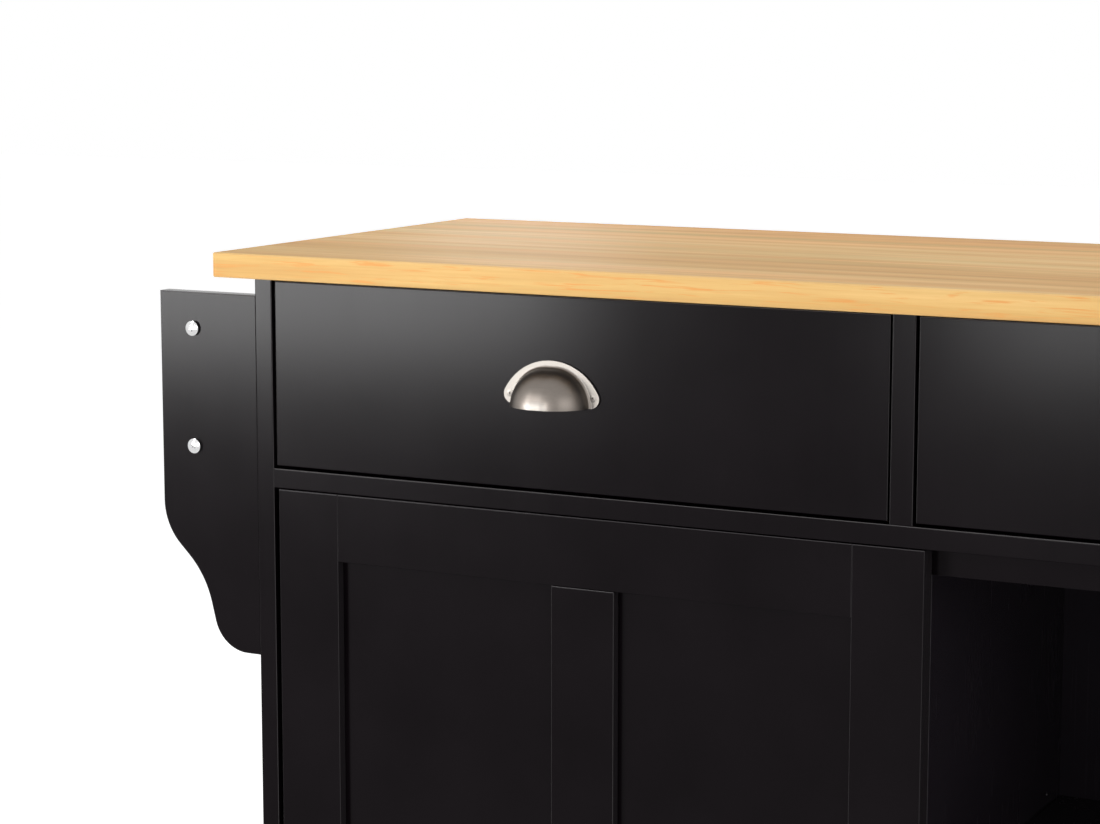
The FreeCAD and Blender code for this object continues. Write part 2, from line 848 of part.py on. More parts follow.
def make_bracket(face_y):
    """A rack bracket on the right side: straight at the wall, scrolled on its outer edge."""
    a, b = math.radians(scroll_slope_angle), math.radians(scroll_neck_angle)
    scroll_fall = (scroll_shoulder_radius * math.sin(a) + scroll_slope * math.cos(a)
                   + scroll_hollow_radius * (math.sin(a) - math.sin(b))
                   + scroll_neck * math.cos(b) + scroll_toe_radius * (1 - math.sin(b)))
    outer = body_half + bracket_width
    corner = point(-outer, face_y, bracket_top)
    edges, toe = scrolled_edge(corner, 0, [
        (bracket_height - scroll_fall,), (scroll_shoulder_radius, scroll_slope_angle),
        (scroll_slope,), (scroll_hollow_radius, scroll_neck_angle), (scroll_neck,),
        (scroll_toe_radius, 90)])
    foot = point(-body_half, face_y, toe.z)
    head = point(-body_half, face_y, bracket_top)
    edges += [Part.LineSegment(toe, foot).toShape(), Part.LineSegment(foot, head).toShape(),
              Part.LineSegment(head, corner).toShape()]
    plate = Part.Face(Part.Wire(edges)).extrude(Y_AXIS * bracket_board)
    rims = [edge for y in (face_y, face_y + bracket_board) for edge in edges_in_plane(plate, 1, y)
            if not all(abs(v.Point.x + body_half) < snap for v in edge.Vertexes)]
    plate = plate.makeChamfer(board_arris, rims)
    for z in rod_zs:
        plate = plate.cut(rod(screw_radius + screw_clearance, point(-rod_x, face_y - over, z),
                              point(-rod_x, face_y + bracket_board + over, z)))
    return plate


def make_brackets(sign):
    """The front and rear bracket of one rack."""
    left = [make_bracket(front_y), make_bracket(rear_y - bracket_board)]
    return left if sign < 0 else [mirrored(plate) for plate in left]


def make_rods():
    """Four rods between the brackets, bored at both ends for their screws."""
    rods = []
    ends = (front_y + bracket_board, rear_y - bracket_board)
    for x in (-rod_x, rod_x):
        for z in rod_zs:
            bar = rod(rod_radius, point(x, ends[0], z), point(x, ends[1], z))
            bores = [rod(screw_radius + screw_clearance, point(x, ends[0] - over, z),
                         point(x, ends[0] + rod_bore_depth, z)),
                     rod(screw_radius + screw_clearance, point(x, ends[1] + over, z),
                         point(x, ends[1] - rod_bore_depth, z))]
            rods.append(bar.cut(bores))
    return rods


def make_screw(x, z, face_y, into):
    """A domed screw whose head rests on the outer face of a bracket."""
    rise = screw_head_height - screw_head_edge
    dome_radius = (screw_head_radius ** 2 + rise ** 2) / (2 * rise)
    head = rod(screw_head_radius, ORIGIN, -Y_AXIS * screw_head_height)
    head = head.common(Part.makeSphere(dome_radius, Y_AXIS * (dome_radius - screw_head_height)))
    screw = head.fuse(rod(screw_radius, ORIGIN, Y_AXIS * (bracket_board + rod_bore_depth - over)))
    if into < 0:
        screw = turned(screw, ORIGIN, Z_AXIS, 180)
    return moved(screw, x, face_y, z)


def make_screws():
    """The eight screws of the two racks."""
    return [make_screw(x, z, face_y, into) for x in (-rod_x, rod_x) for z in rod_zs
            for face_y, into in ((front_y, 1), (rear_y, -1))]


def make_spice_shelf():
    """The shelf of the right rack, between its brackets."""
    top = rod_zs[1] - spice_shelf_below_rod
    shelf = block((body_half, body_half + spice_shelf_width),
                  (front_y + bracket_board, rear_y - bracket_board), (top - spice_shelf_board, top))
    return shelf.makeFillet(board_arris, edges_in_plane(shelf, 0, body_half + spice_shelf_width))


def make_caster_plate(x, y):
    """A mounting plate with rounded corners and the king pin that holds the fork."""
    half = caster_plate_size / 2
    plate = block((x - half, x + half), (y - half, y + half),
                  (bottom_under - caster_plate_sheet, bottom_under))
    uprights = [edge for edge in plate.Edges
                if abs(edge.Vertexes[0].Point.z - edge.Vertexes[1].Point.z) > snap]
    plate = plate.makeFillet(caster_plate_corner, uprights)
    head_top = fork_top_z() - fork_sheet - fork_race_gap
    pin = rod(kingpin_radius, point(x, y, head_top), point(x, y, bottom_under - caster_plate_sheet))
    head = rod(kingpin_head_radius, point(x, y, head_top - kingpin_head), point(x, y, head_top))
    return plate.fuse([pin, head])


def fork_top_z():
    """The height of the fork's top sheet."""
    return bottom_under - caster_plate_sheet - fork_top_drop


def leg_outline(y, trail_x, trail_z):
    """A fork leg seen from the side, at the distance y from the middle of the wheel."""
    top = fork_top_z()
    reach = fork_top_radius
    left = tangent_point(-reach, top, trail_x, trail_z, fork_boss_radius, -1)
    right = tangent_point(reach, top, trail_x, trail_z, fork_boss_radius, 1)
    bottom = point(trail_x, y, trail_z - fork_boss_radius)
    start, end = point(-reach, y, top), point(reach, y, top)
    first, last = point(left[0], y, left[1]), point(right[0], y, right[1])
    return [Part.LineSegment(end, start).toShape(), Part.LineSegment(start, first).toShape(),
            Part.Arc(first, bottom, last).toShape(), Part.LineSegment(last, end).toShape()]


def tangent_point(x, z, centre_x, centre_z, radius, side):
    """Where a line from a point above touches a circle, on its left (-1) or right (1)."""
    away_x, away_z = x - centre_x, z - centre_z
    reach = math.hypot(away_x, away_z)
    angle = math.atan2(away_z, away_x) - side * math.acos(radius / reach)
    return centre_x + radius * math.cos(angle), centre_z + radius * math.sin(angle)


def make_fork(x, y, braked):
    """A caster fork: top sheet with race, two legs and the riveted axle. The wheel trails to +X."""
    top = fork_top_z()
    inside = caster_wheel_width / 2 + fork_side_clearance
    outside = inside + fork_sheet
    sheet = rod(fork_top_radius, point(0, 0, top - fork_sheet), point(0, 0, top))
    crown = block((-fork_top_radius, fork_top_radius), (-outside, outside), (top - fork_sheet, top))
    race = rod(fork_race_radius, point(0, 0, top), point(0, 0, top + fork_top_drop - fork_race_gap))
    pieces = [crown, race]
    for side in (-1, 1):
        leg = Part.Face(Part.Wire(leg_outline(side * inside, caster_trail, caster_wheel_radius)))
        pieces.append(leg.extrude(Y_AXIS * side * fork_sheet))
        if braked:
            ear = [point(0, side * inside, top), point(fork_top_radius, side * inside, top),
                   point(pedal_pivot_out, side * inside, pedal_pivot_up + pedal_boss_radius),
                   point(pedal_pivot_out, side * inside, pedal_pivot_up - pedal_boss_radius),
                   point(caster_trail, side * inside, pedal_pivot_up - 2 * pedal_boss_radius)]
            pieces.append(prism(ear, Y_AXIS * side * fork_sheet))
            pieces.append(rod(pedal_boss_radius, point(pedal_pivot_out, side * inside, pedal_pivot_up),
                              point(pedal_pivot_out, side * outside, pedal_pivot_up)))
        pieces.append(rod(caster_axle_head_radius, point(caster_trail, side * outside, caster_wheel_radius),
                          point(caster_trail, side * (outside + caster_axle_head), caster_wheel_radius)))
    pieces.append(rod(caster_axle_radius, point(caster_trail, -outside, caster_wheel_radius),
                      point(caster_trail, outside, caster_wheel_radius)))
    if braked:
        pieces.append(rod(pedal_pin_radius, point(pedal_pivot_out, -outside, pedal_pivot_up),
                          point(pedal_pivot_out, outside, pedal_pivot_up)))
    fork = sheet.fuse(pieces)
    bore = rod(kingpin_radius + running_clearance, point(0, 0, 0), point(0, 0, surface_height))
    return moved(fork.cut(bore), x, y, 0)


def make_wheel(x, y):
    """A caster wheel: a tread with bevelled edges and a hub that stands out, bored for the axle."""
    half = caster_wheel_width / 2
    tread = caster_tread_width / 2
    edge = caster_tread_edge
    radius = caster_wheel_radius
    corners = [(caster_axle_radius + running_clearance, half), (caster_hub_radius, half),
               (caster_hub_radius, tread), (radius - edge, tread), (radius, tread - edge)]
    ring = [point(r, w, 0) for r, w in corners] + [point(r, -w, 0) for r, w in reversed(corners)]
    solid = Part.Face(Part.makePolygon(ring + ring[:1])).revolve(ORIGIN, Y_AXIS, 360)
    return moved(solid, x + caster_trail, y, caster_wheel_radius)


def make_pedal(x, y):
    """The brake pedal: a plate that reaches out past the wheel, and a shoe that meets the tread.

    Pressed through its angle, the shoe comes to its gap from the tread on the line between the
    pivot and the axle.
    """
    pivot = point(pedal_pivot_out, 0, pedal_pivot_up)
    across = Y_AXIS * (caster_wheel_width / 2 + fork_side_clearance - pedal_side_clearance)
    boss = rod(pedal_boss_radius, pivot - across, pivot + across)
    top = pivot.z + pedal_boss_radius
    plate = block((pivot.x, pivot.x + pedal_reach), (-across.y, across.y), (top - pedal_sheet, top))
    lip = block((pivot.x + pedal_reach - pedal_sheet, pivot.x + pedal_reach), (-across.y, across.y),
                (top - pedal_lip, top))
    to_axle = point(caster_trail, 0, caster_wheel_radius) - pivot
    shoe_reach = to_axle.Length - caster_wheel_radius - pedal_shoe_gap - pedal_shoe_radius
    shoe_centre = pivot + to_axle * (shoe_reach / to_axle.Length)
    shoe = rod(pedal_shoe_radius, shoe_centre - across, shoe_centre + across)
    shoe = turned(shoe, pivot, Y_AXIS, -pedal_angle)
    bore = rod(pedal_pin_radius + running_clearance, pivot - across * 2, pivot + across * 2)
    return moved(boss.fuse([plate, lip, shoe]).cut(bore), x, y, 0)


def main():
    """Make every sub-part and write it."""
    os.makedirs("parts", exist_ok=True)
    save("worktop", make_worktop())
    save("side_panel_left", make_side_panel(-1))
    save("side_panel_right", make_side_panel(1))
    save("back_panel", make_back_panel())
    save("bottom_panel", make_bottom_panel())
    save("deck_panel", make_deck())
    save("drawer_divider", make_drawer_divider())
    save("centre_partition", make_centre_partition())
    save("top_stretchers", *make_stretchers())
    save("shelf_left", make_shelf(-1))
    save("shelf_right", make_shelf(1))
    save("shelf_supports", *make_shelf_supports())
    save("door_track", make_door_track())
    save("door_floor_guide", make_floor_guide())
    save("towel_brackets", *make_brackets(-1))
    save("spice_brackets", *make_brackets(1))
    save("spice_shelf", make_spice_shelf())
    save("rack_rods", *make_rods())
    save("rack_screws", *make_screws())
    save("drawer_slide_outers", *make_slide_outers())
    save("hinge_plates_fixed", *make_hinge_fixed())
    save("strut_brackets", *make_strut_brackets())
    for side, sign in (("left", -1), ("right", 1)):
        save("drawer_" + side + "_front", make_drawer_front(sign))
        save("drawer_" + side + "_sides", *make_drawer_sides(sign))
        save("drawer_" + side + "_back", make_drawer_back(sign))
        save("drawer_" + side + "_bottom", drawer_bottom_space(sign))
        save("drawer_" + side + "_pull", make_pull(sign))
        save("drawer_" + side + "_slide_inners", *make_slide_inners(sign))
        save("drawer_" + side + "_slide_middles", *make_slide_middles(sign))
    save("door_stiles", *make_door_stiles())
    save("door_rails", *make_door_rails())
    save("door_slat", make_door_slat())
    save("door_panel", make_door_panel())
    save("door_knob", make_knob())
    save("door_hangers", *make_hangers())
    save("door_wheels_left", make_door_wheels(hanger_xs[0]))
    save("door_wheels_right", make_door_wheels(hanger_xs[1]))
    save("drop_leaf", make_leaf())
    save("hinge_plates_moving", *make_hinge_moving())
    save("strut_channels", *make_strut_channels())
    save("struts", *make_struts())
    corners = [("front_left", -caster_x, caster_ys[0]), ("front_right", caster_x, caster_ys[0]),
               ("rear_left", -caster_x, caster_ys[1]), ("rear_right", caster_x, caster_ys[1])]
    save("caster_plates", *[make_caster_plate(x, y) for name, x, y in corners])
    for name, x, y in corners:
        braked = name.startswith("front")
        save("caster_fork_" + name, make_fork(x, y, braked))
        save("caster_wheel_" + name, make_wheel(x, y))
        if braked:
            save("brake_pedal_" + name, make_pedal(x, y))


main()
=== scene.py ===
"""Looks, small fittings and studio of the rolling kitchen island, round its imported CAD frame."""
from __future__ import annotations

import json
import logging
import math
from collections.abc import Iterable, Sequence
from dataclasses import dataclass, field
from enum import Enum
from typing import Any

import bmesh
import bpy
from mathutils import Matrix, Vector

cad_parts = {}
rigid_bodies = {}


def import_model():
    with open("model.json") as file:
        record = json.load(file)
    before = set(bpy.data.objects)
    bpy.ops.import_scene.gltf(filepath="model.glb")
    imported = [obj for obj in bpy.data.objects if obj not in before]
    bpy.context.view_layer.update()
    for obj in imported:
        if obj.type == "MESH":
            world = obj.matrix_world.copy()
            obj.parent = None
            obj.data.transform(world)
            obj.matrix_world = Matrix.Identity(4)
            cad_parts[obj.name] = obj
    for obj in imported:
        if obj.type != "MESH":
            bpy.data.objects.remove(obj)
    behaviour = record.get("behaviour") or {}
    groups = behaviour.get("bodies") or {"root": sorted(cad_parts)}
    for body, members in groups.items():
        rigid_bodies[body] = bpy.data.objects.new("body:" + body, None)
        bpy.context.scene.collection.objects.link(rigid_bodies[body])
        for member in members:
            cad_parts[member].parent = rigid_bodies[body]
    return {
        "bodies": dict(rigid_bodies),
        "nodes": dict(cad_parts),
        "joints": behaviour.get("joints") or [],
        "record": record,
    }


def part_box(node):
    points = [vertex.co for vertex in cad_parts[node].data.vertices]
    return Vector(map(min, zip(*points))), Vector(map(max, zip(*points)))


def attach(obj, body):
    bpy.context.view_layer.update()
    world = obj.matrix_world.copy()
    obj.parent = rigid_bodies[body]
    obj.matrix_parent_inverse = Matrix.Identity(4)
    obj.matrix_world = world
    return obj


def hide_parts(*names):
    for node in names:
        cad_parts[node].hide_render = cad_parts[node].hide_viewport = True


LOG = logging.getLogger("island")
Colour = tuple[float, float, float]
Pair = tuple[float, float]
Socket = bpy.types.NodeSocket

MM = 0.001
# Vertices of one solid that lie closer than this are the same corner.
WELD = 0.01 * MM
# Most of a noise texture's values lie between these.
USUAL = (0.3, 0.7)
WHITE = (1.0, 1.0, 1.0, 1.0)
# The Mix node's sockets for colours: it has others for numbers and vectors.
MIX_FACTOR, MIX_FIRST, MIX_SECOND, MIX_RESULT = 0, 6, 7, 2
# The corners of each face of a wedge: four corners below, then the four above them.
WEDGE_FACES = ((3, 2, 1, 0), (4, 5, 6, 7), (0, 1, 5, 4), (1, 2, 6, 5), (2, 3, 7, 6), (3, 0, 4, 7))
# Nodes whose finish isn't simply that of their slot. The inner boards' and the door's finishes carry
# painted light of their own.
OWN_FINISH = {
    "drop_leaf": "leaf_wood",
    "centre_partition": "inner_lacquer_painted_light",
    "back_panel": "inner_lacquer_painted_light",
    "shelf_left": "inner_lacquer_painted_light",
    "shelf_right": "inner_lacquer_painted_light",
    "door_stiles": "door_lacquer_painted_light",
    "door_rails": "door_lacquer_painted_light",
    "door_panel": "door_lacquer_painted_light",
    "door_slat": "slat_lacquer_painted_light",
}


class Away(Enum):
    """The way that a fitting's head looks."""

    FRONT = (0.0, -1.0, 0.0)
    REAR = (0.0, 1.0, 0.0)
    DOWN = (0.0, 0.0, -1.0)

    def turn(self) -> Matrix:
        """The rotation that carries +Z to this way."""
        return Vector((0, 0, 1)).rotation_difference(Vector(self.value)).to_matrix().to_4x4()


@dataclass(frozen=True)
class Noise:
    """A noise texture: scale or stretch in cells per metre, octaves, their weight, and its bend."""

    scale: float = 1.0
    stretch: tuple[float, float, float] | None = None
    detail: float = 3.0
    roughness: float = 0.5
    distortion: float = 0.0


class Recipe:
    """The node tree of one material, with short calls that add and join its nodes."""

    def __init__(self, name: str) -> None:
        """Start a material with a Principled shader.

        Args:
            name: The material's name.
        """
        self.material = bpy.data.materials.new(name)
        self.material.use_nodes = True
        self.tree = self.material.node_tree
        self.shader = self.tree.nodes["Principled BSDF"]

    def add(self, kind: str, **settings: object) -> bpy.types.Node:
        """Add a node.

        Args:
            kind: Blender's name of the node type.
            settings: Properties of the node.

        Returns:
            The node.
        """
        node = self.tree.nodes.new(kind)
        for key, value in settings.items():
            setattr(node, key, value)
        return node

    def join(self, source: Socket, target: Socket) -> None:
        """Link two sockets."""
        self.tree.links.new(source, target)

    def feed(self, value: Socket | float | Sequence[float], target: Socket) -> None:
        """Give a socket its value.

        Args:
            value: A socket, a number or a colour.
            target: The socket.
        """
        if isinstance(value, Socket):
            self.join(value, target)
        else:
            target.default_value = value

    def place(self) -> Socket:
        """The point on the piece in metres, in the object's own frame."""
        return self.add("ShaderNodeTexCoord").outputs["Object"]

    def facing(self) -> bpy.types.bpy_prop_collection:
        """Find the way that a face looks, in the object's own frame.

        Returns:
            The X, Y and Z of its normal.
        """
        turn = self.add("ShaderNodeVectorTransform", vector_type="NORMAL", convert_from="WORLD",
                        convert_to="OBJECT")
        self.join(self.add("ShaderNodeNewGeometry").outputs["True Normal"], turn.inputs[0])
        return self.split(turn.outputs[0])

    def split(self, vector: Socket) -> bpy.types.bpy_prop_collection:
        """Take a vector apart.

        Args:
            vector: The vector.

        Returns:
            Its X, Y and Z.
        """
        node = self.add("ShaderNodeSeparateXYZ")
        self.join(vector, node.inputs[0])
        return node.outputs

    def sums(self, operation: str, first: Socket | float, second: Socket | float = 0.0) -> Socket:
        """Work out one value.

        Args:
            operation: The Math node's operation.
            first: A socket or a number.
            second: A socket or a number.

        Returns:
            The result.
        """
        node = self.add("ShaderNodeMath", operation=operation)
        self.feed(first, node.inputs[0])
        self.feed(second, node.inputs[1])
        return node.outputs[0]

    def mean(self, first: Socket, second: Socket, share: float) -> Socket:
        """Weigh two values against each other.

        Args:
            first: The first value.
            second: The second value.
            share: The first value's share of the whole.

        Returns:
            The weighted mean.
        """
        return self.sums("ADD", self.sums("MULTIPLY", first, share),
                         self.sums("MULTIPLY", second, 1.0 - share))

    def noise(self, place: Socket, kind: Noise) -> Socket:
        """Noise between 0 and 1.

        Args:
            place: Where to read the noise.
            kind: How the noise is set.

        Returns:
            The factor.
        """
        if kind.stretch:
            stretched = self.add("ShaderNodeMapping")
            stretched.inputs["Scale"].default_value = kind.stretch
            self.join(place, stretched.inputs["Vector"])
            place = stretched.outputs[0]
        node = self.add("ShaderNodeTexNoise")
        node.inputs["Scale"].default_value = kind.scale
        node.inputs["Detail"].default_value = kind.detail
        node.inputs["Roughness"].default_value = kind.roughness
        node.inputs["Distortion"].default_value = kind.distortion
        self.join(place, node.inputs["Vector"])
        return node.outputs["Fac"]

    def ramp(self, factor: Socket, places: Sequence[float], colours: Sequence[Colour]) -> Socket:
        """Colour by factor.

        Args:
            factor: The factor.
            places: The factors at which the colours stand, in rising order.
            colours: The colours.

        Returns:
            The colour.
        """
        node = self.add("ShaderNodeValToRGB")
        elements = node.color_ramp.elements
        while len(elements) < len(places):
            elements.new(places[len(elements) - 1])
        for element, place, colour in zip(elements, places, colours):
            element.position = place
            element.color = (*colour, 1.0)
        self.join(factor, node.inputs[0])
        return node.outputs[0]

    def span(self, factor: Socket, source: Pair, target: Pair = (0.0, 1.0)) -> Socket:
        """Carry a factor from one span of values to another, clamped.

        Args:
            factor: The factor.
            source: The two values that it comes from.
            target: The two values that they become.

        Returns:
            The new factor.
        """
        node = self.add("ShaderNodeMapRange")
        for name, value in zip(("From Min", "From Max", "To Min", "To Max"), (*source, *target)):
            node.inputs[name].default_value = value
        self.join(factor, node.inputs[0])
        return node.outputs[0]

    def blend(self, factor: Socket | float, first: Socket, second: Socket | Colour,
              mode: str = "MIX") -> Socket:
        """Mix two colours.

        Args:
            factor: How much of the second colour is used.
            first: The first colour.
            second: A socket or a colour.
            mode: The blend type.

        Returns:
            The mixed colour.
        """
        node = self.add("ShaderNodeMix", data_type="RGBA", blend_type=mode)
        self.feed(factor, node.inputs[MIX_FACTOR])
        self.feed(first, node.inputs[MIX_FIRST])
        self.feed(second if isinstance(second, Socket) else (*second, 1.0), node.inputs[MIX_SECOND])
        return node.outputs[MIX_RESULT]

    def tint(self, first: Socket, second: Socket | Colour) -> Socket:
        """One colour multiplied by another."""
        return self.blend(1.0, first, second, "MULTIPLY")

    def bump(self, height: Socket, strength: float, distance: float) -> None:
        """Let a height tilt the shader's normal.

        Args:
            height: The height factor.
            strength: How much of the tilt is used.
            distance: The height of factor 1 in metres.
        """
        node = self.add("ShaderNodeBump")
        node.inputs["Strength"].default_value = strength
        node.inputs["Distance"].default_value = distance
        self.join(height, node.inputs["Height"])
        self.join(node.outputs[0], self.shader.inputs["Normal"])

    def finish(self, colour: Socket, roughness: Socket, **constants: float) -> bpy.types.Material:
        """Wire colour and roughness to the shader and set what is the same all over.

        Args:
            colour: The base colour.
            roughness: The roughness.
            constants: Other shader inputs, with underscores for spaces.

        Returns:
            The material.
        """
        self.join(colour, self.shader.inputs["Base Color"])
        self.join(roughness, self.shader.inputs["Roughness"])
        for key, value in constants.items():
            self.shader.inputs[key.replace("_", " ")].default_value = value
        return self.material


@dataclass(frozen=True)
class StaveWood:
    """Oiled wood of glued staves along X: pale faces, golden edges, end grain, fine glue lines."""

    name: str
    low: Vector
    high: Vector
    across: int
    through: int
    staves: int = 5
    pale: Colour = (0.80, 0.50, 0.235)
    middle: Colour = (0.66, 0.37, 0.145)
    dark: Colour = (0.55, 0.285, 0.100)
    tone_places: tuple[float, float, float] = (0.34, 0.48, 0.66)
    stave_shift: Pair = (7.0, 3.0)
    stave_tone: Pair = (-0.05, 0.05)
    figure: Noise = Noise(stretch=(1.5, 30.0, 30.0), detail=4.0, roughness=0.55, distortion=0.8)
    figure_share: float = 0.66
    fine: Noise = Noise(stretch=(7.0, 260.0, 260.0), detail=4.0, roughness=0.6, distortion=0.3)
    pores: Noise = Noise(stretch=(40.0, 1400.0, 1400.0), detail=2.0, roughness=0.6)
    pore_places: Pair = (0.60, 0.74)
    pore_depth: float = 0.22
    hues: Noise = Noise(stretch=(0.9, 17.0, 17.0), distortion=0.5)
    hue_places: Pair = (0.36, 0.64)
    warm: Colour = (1.005, 0.97, 0.87)
    olive: Colour = (0.95, 1.095, 1.08)
    line: Colour = (0.42, 0.235, 0.105)
    line_places: Pair = (0.4960, 0.4985)
    line_depth: float = 0.30
    rim: float = 1.1 * MM
    rim_fade: float = 0.3 * MM
    edge_tint: Colour = (1.0, 1.0, 0.87)
    dashes: Noise = Noise(stretch=(16.0, 330.0, 330.0), roughness=0.6, distortion=0.6)
    dash: Colour = (0.62, 0.27, 0.07)
    dash_places: Pair = (0.55, 0.66)
    dash_depth: float = 0.85
    rings: Noise = Noise(stretch=(1.0, 60.0, 60.0), detail=5.0, roughness=0.65, distortion=1.6)
    ring_places: Pair = (0.35, 0.62)
    end_fade: Pair = (0.4 * MM, 0.1 * MM)
    end_depth: float = 0.75
    relief: Pair = (0.2, 0.04 * MM)
    gloss: Pair = (0.52, 0.62)
    level: float = 0.15

    def stave_count(self, r: Recipe, value: Socket) -> Socket:
        """Count the staves.

        Args:
            r: The recipe.
            value: The place along the axis across the staves.

        Returns:
            How many staves lie before it, with the part of the last one.
        """
        pitch = (self.high[self.across] - self.low[self.across]) / self.staves
        return r.sums("DIVIDE", r.sums("SUBTRACT", value, self.low[self.across]), pitch)

    def stave_place(self, r: Recipe, place: Socket, chance: Socket) -> Socket:
        """Shift the grain of each stave, so that no two are alike.

        Args:
            r: The recipe.
            place: The point on the piece.
            chance: The stave's own number between 0 and 1.

        Returns:
            The shifted point.
        """
        shift = r.add("ShaderNodeCombineXYZ")
        for index, most in enumerate(self.stave_shift):
            r.join(r.sums("MULTIPLY", chance, most), shift.inputs[index])
        moved = r.add("ShaderNodeVectorMath", operation="ADD")
        r.join(place, moved.inputs[0])
        r.join(shift.outputs[0], moved.inputs[1])
        return moved.outputs[0]

    def edge_face(self, r: Recipe, value: Socket) -> Socket:
        """Tell the slab's edges from its two faces.

        Args:
            r: The recipe.
            value: The place along the axis through the slab.

        Returns:
            One on the edges, fading to nothing at their rims.
        """
        low, high = self.low[self.through] + self.rim, self.high[self.through] - self.rim
        return r.sums("MULTIPLY", r.span(value, (low, low + self.rim_fade)),
                      r.span(value, (high, high - self.rim_fade)))

    def material(self) -> bpy.types.Material:
        """Build the material: staves, grain, glue lines, edges with dark dashes, and end grain.

        Returns:
            The material.
        """
        r = Recipe(self.name)
        place = r.place()
        axes = r.split(place)
        count = self.stave_count(r, axes[self.across])
        white = r.add("ShaderNodeTexWhiteNoise", noise_dimensions="1D")
        r.join(r.sums("FLOOR", count), white.inputs["W"])
        chance = white.outputs["Value"]
        moved = self.stave_place(r, place, chance)
        figure, fine, pores = (r.noise(moved, kind) for kind in (self.figure, self.fine, self.pores))

        tone = r.mean(figure, fine, self.figure_share)
        tone = r.sums("ADD", tone, r.span(chance, (0.0, 1.0), self.stave_tone))
        colour = r.ramp(tone, self.tone_places, (self.dark, self.middle, self.pale))
        hue = r.ramp(r.noise(moved, self.hues), self.hue_places, (self.warm, self.olive))
        colour = r.tint(colour, hue)
        colour = r.blend(r.span(pores, self.pore_places, (0.0, self.pore_depth)), colour, self.dark)
        # The way from the middle of a stave, in staves: glue lines lie at one half.
        line = r.sums("ABSOLUTE", r.sums("SUBTRACT", r.sums("FRACT", count), 0.5))
        colour = r.blend(r.span(line, self.line_places, (0.0, self.line_depth)), colour, self.line)

        edge = self.edge_face(r, axes[self.through])
        colour = r.blend(edge, colour, r.tint(colour, self.edge_tint))
        dashes = r.span(r.noise(moved, self.dashes), self.dash_places, (0.0, self.dash_depth))
        colour = r.blend(r.sums("MULTIPLY", edge, dashes), colour, self.dash)

        end = r.span(r.sums("ABSOLUTE", axes[0]), tuple(self.high.x - fade for fade in self.end_fade))
        cut = r.ramp(r.noise(moved, self.rings), self.ring_places, (self.line, self.middle))
        colour = r.blend(r.sums("MULTIPLY", end, self.end_depth), colour, cut)
        r.bump(r.sums("ADD", fine, pores), *self.relief)
        return r.finish(colour, r.span(fine, USUAL, self.gloss), Specular_IOR_Level=self.level)


@dataclass(frozen=True)
class PlainWood:
    """Clear matt wood with a straight grain, for boards that are not painted."""

    name: str
    pale: Colour = (0.62, 0.46, 0.29)
    dark: Colour = (0.44, 0.29, 0.16)
    tone_places: Pair = (0.32, 0.66)
    grain: Noise = Noise(stretch=(120.0, 3.0, 40.0), detail=5.0, roughness=0.6, distortion=0.6)
    relief: Pair = (0.3, 0.05 * MM)
    gloss: Pair = (0.55, 0.68)
    level: float = 0.35

    def material(self) -> bpy.types.Material:
        """Build the material.

        Returns:
            The material.
        """
        r = Recipe(self.name)
        grain = r.noise(r.place(), self.grain)
        colour = r.ramp(grain, self.tone_places, (self.dark, self.pale))
        r.bump(grain, *self.relief)
        return r.finish(colour, r.span(grain, USUAL, self.gloss), Specular_IOR_Level=self.level)


@dataclass(frozen=True)
class Lacquer:
    """Satin lacquer over a faint grain: nearly black, with a painted highlight on the chamfers and,
    if given, painted light on side faces.
    """

    name: str
    deep: Colour = (0.0028, 0.0017, 0.0024)
    lifted: Colour = (0.0042, 0.0028, 0.0037)
    cloud: Noise = Noise(scale=9.0)
    grain: Noise = Noise(stretch=(300.0, 300.0, 6.0), roughness=0.55, distortion=0.4)
    grain_share: float = 0.7
    skin: Noise = Noise(scale=900.0, detail=2.0)
    # Painted light: if given, faces that look left or right take this paler colour, standing in for
    # light on them.
    side: Colour | None = None
    side_facing: Pair = (0.90, 0.97)
    # The colour of the painted highlight on the chamfers, which stands in for light caught by rounded
    # edges.
    bevel_highlight: Colour = (0.105, 0.100, 0.102)
    bevel_from_side: Pair = (0.45, 0.60)
    bevel_from_front: Pair = (0.94, 0.82)
    highlight_upward: Pair = (-0.5, 0.6)
    relief: Pair = (0.12, 0.06 * MM)
    gloss_over: Pair = (0.7, 1.3)
    gloss: Pair = (0.155, 0.178)
    level: float = 0.070

    def highlight_on_bevels(self, r: Recipe, facing: bpy.types.bpy_prop_collection) -> Socket:
        """Find where the painted highlight goes: the chamfers round the boards' front and rear faces.

        Args:
            r: The recipe.
            facing: The X, Y and Z of the face's normal.

        Returns:
            One on chamfers that look up, less on upright ones, nothing on those that look down, as if
            lit from above.
        """
        slant = r.sums("ABSOLUTE", facing[1])
        edge = r.sums("MULTIPLY", r.span(slant, self.bevel_from_side),
                      r.span(slant, self.bevel_from_front))
        return r.sums("MULTIPLY", edge, r.span(facing[2], self.highlight_upward))

    def material(self) -> bpy.types.Material:
        """Build the material: cloudy tone, brushed grain, a fine skin, a painted highlight on the
        chamfers and, if given, painted light on side faces.

        Returns:
            The material.
        """
        r = Recipe(self.name)
        place = r.place()
        cloud, grain, skin = (r.noise(place, kind) for kind in (self.cloud, self.grain, self.skin))
        colour = r.ramp(cloud, USUAL, (self.deep, self.lifted))
        facing = r.facing()
        if self.side:
            # Painted light: faces that look sideways are lightened towards the side colour.
            side_light_mask = r.span(r.sums("ABSOLUTE", facing[0]), self.side_facing)
            colour = r.blend(side_light_mask, colour, self.side)
        # Painted highlight: chamfers that look up take a pale colour, as if they caught the light
        # from above.
        colour = r.blend(self.highlight_on_bevels(r, facing), colour, self.bevel_highlight)
        r.bump(r.mean(grain, skin, self.grain_share), *self.relief)
        rough = r.span(r.sums("ADD", cloud, grain), self.gloss_over, self.gloss)
        return r.finish(colour, rough, Specular_IOR_Level=self.level)


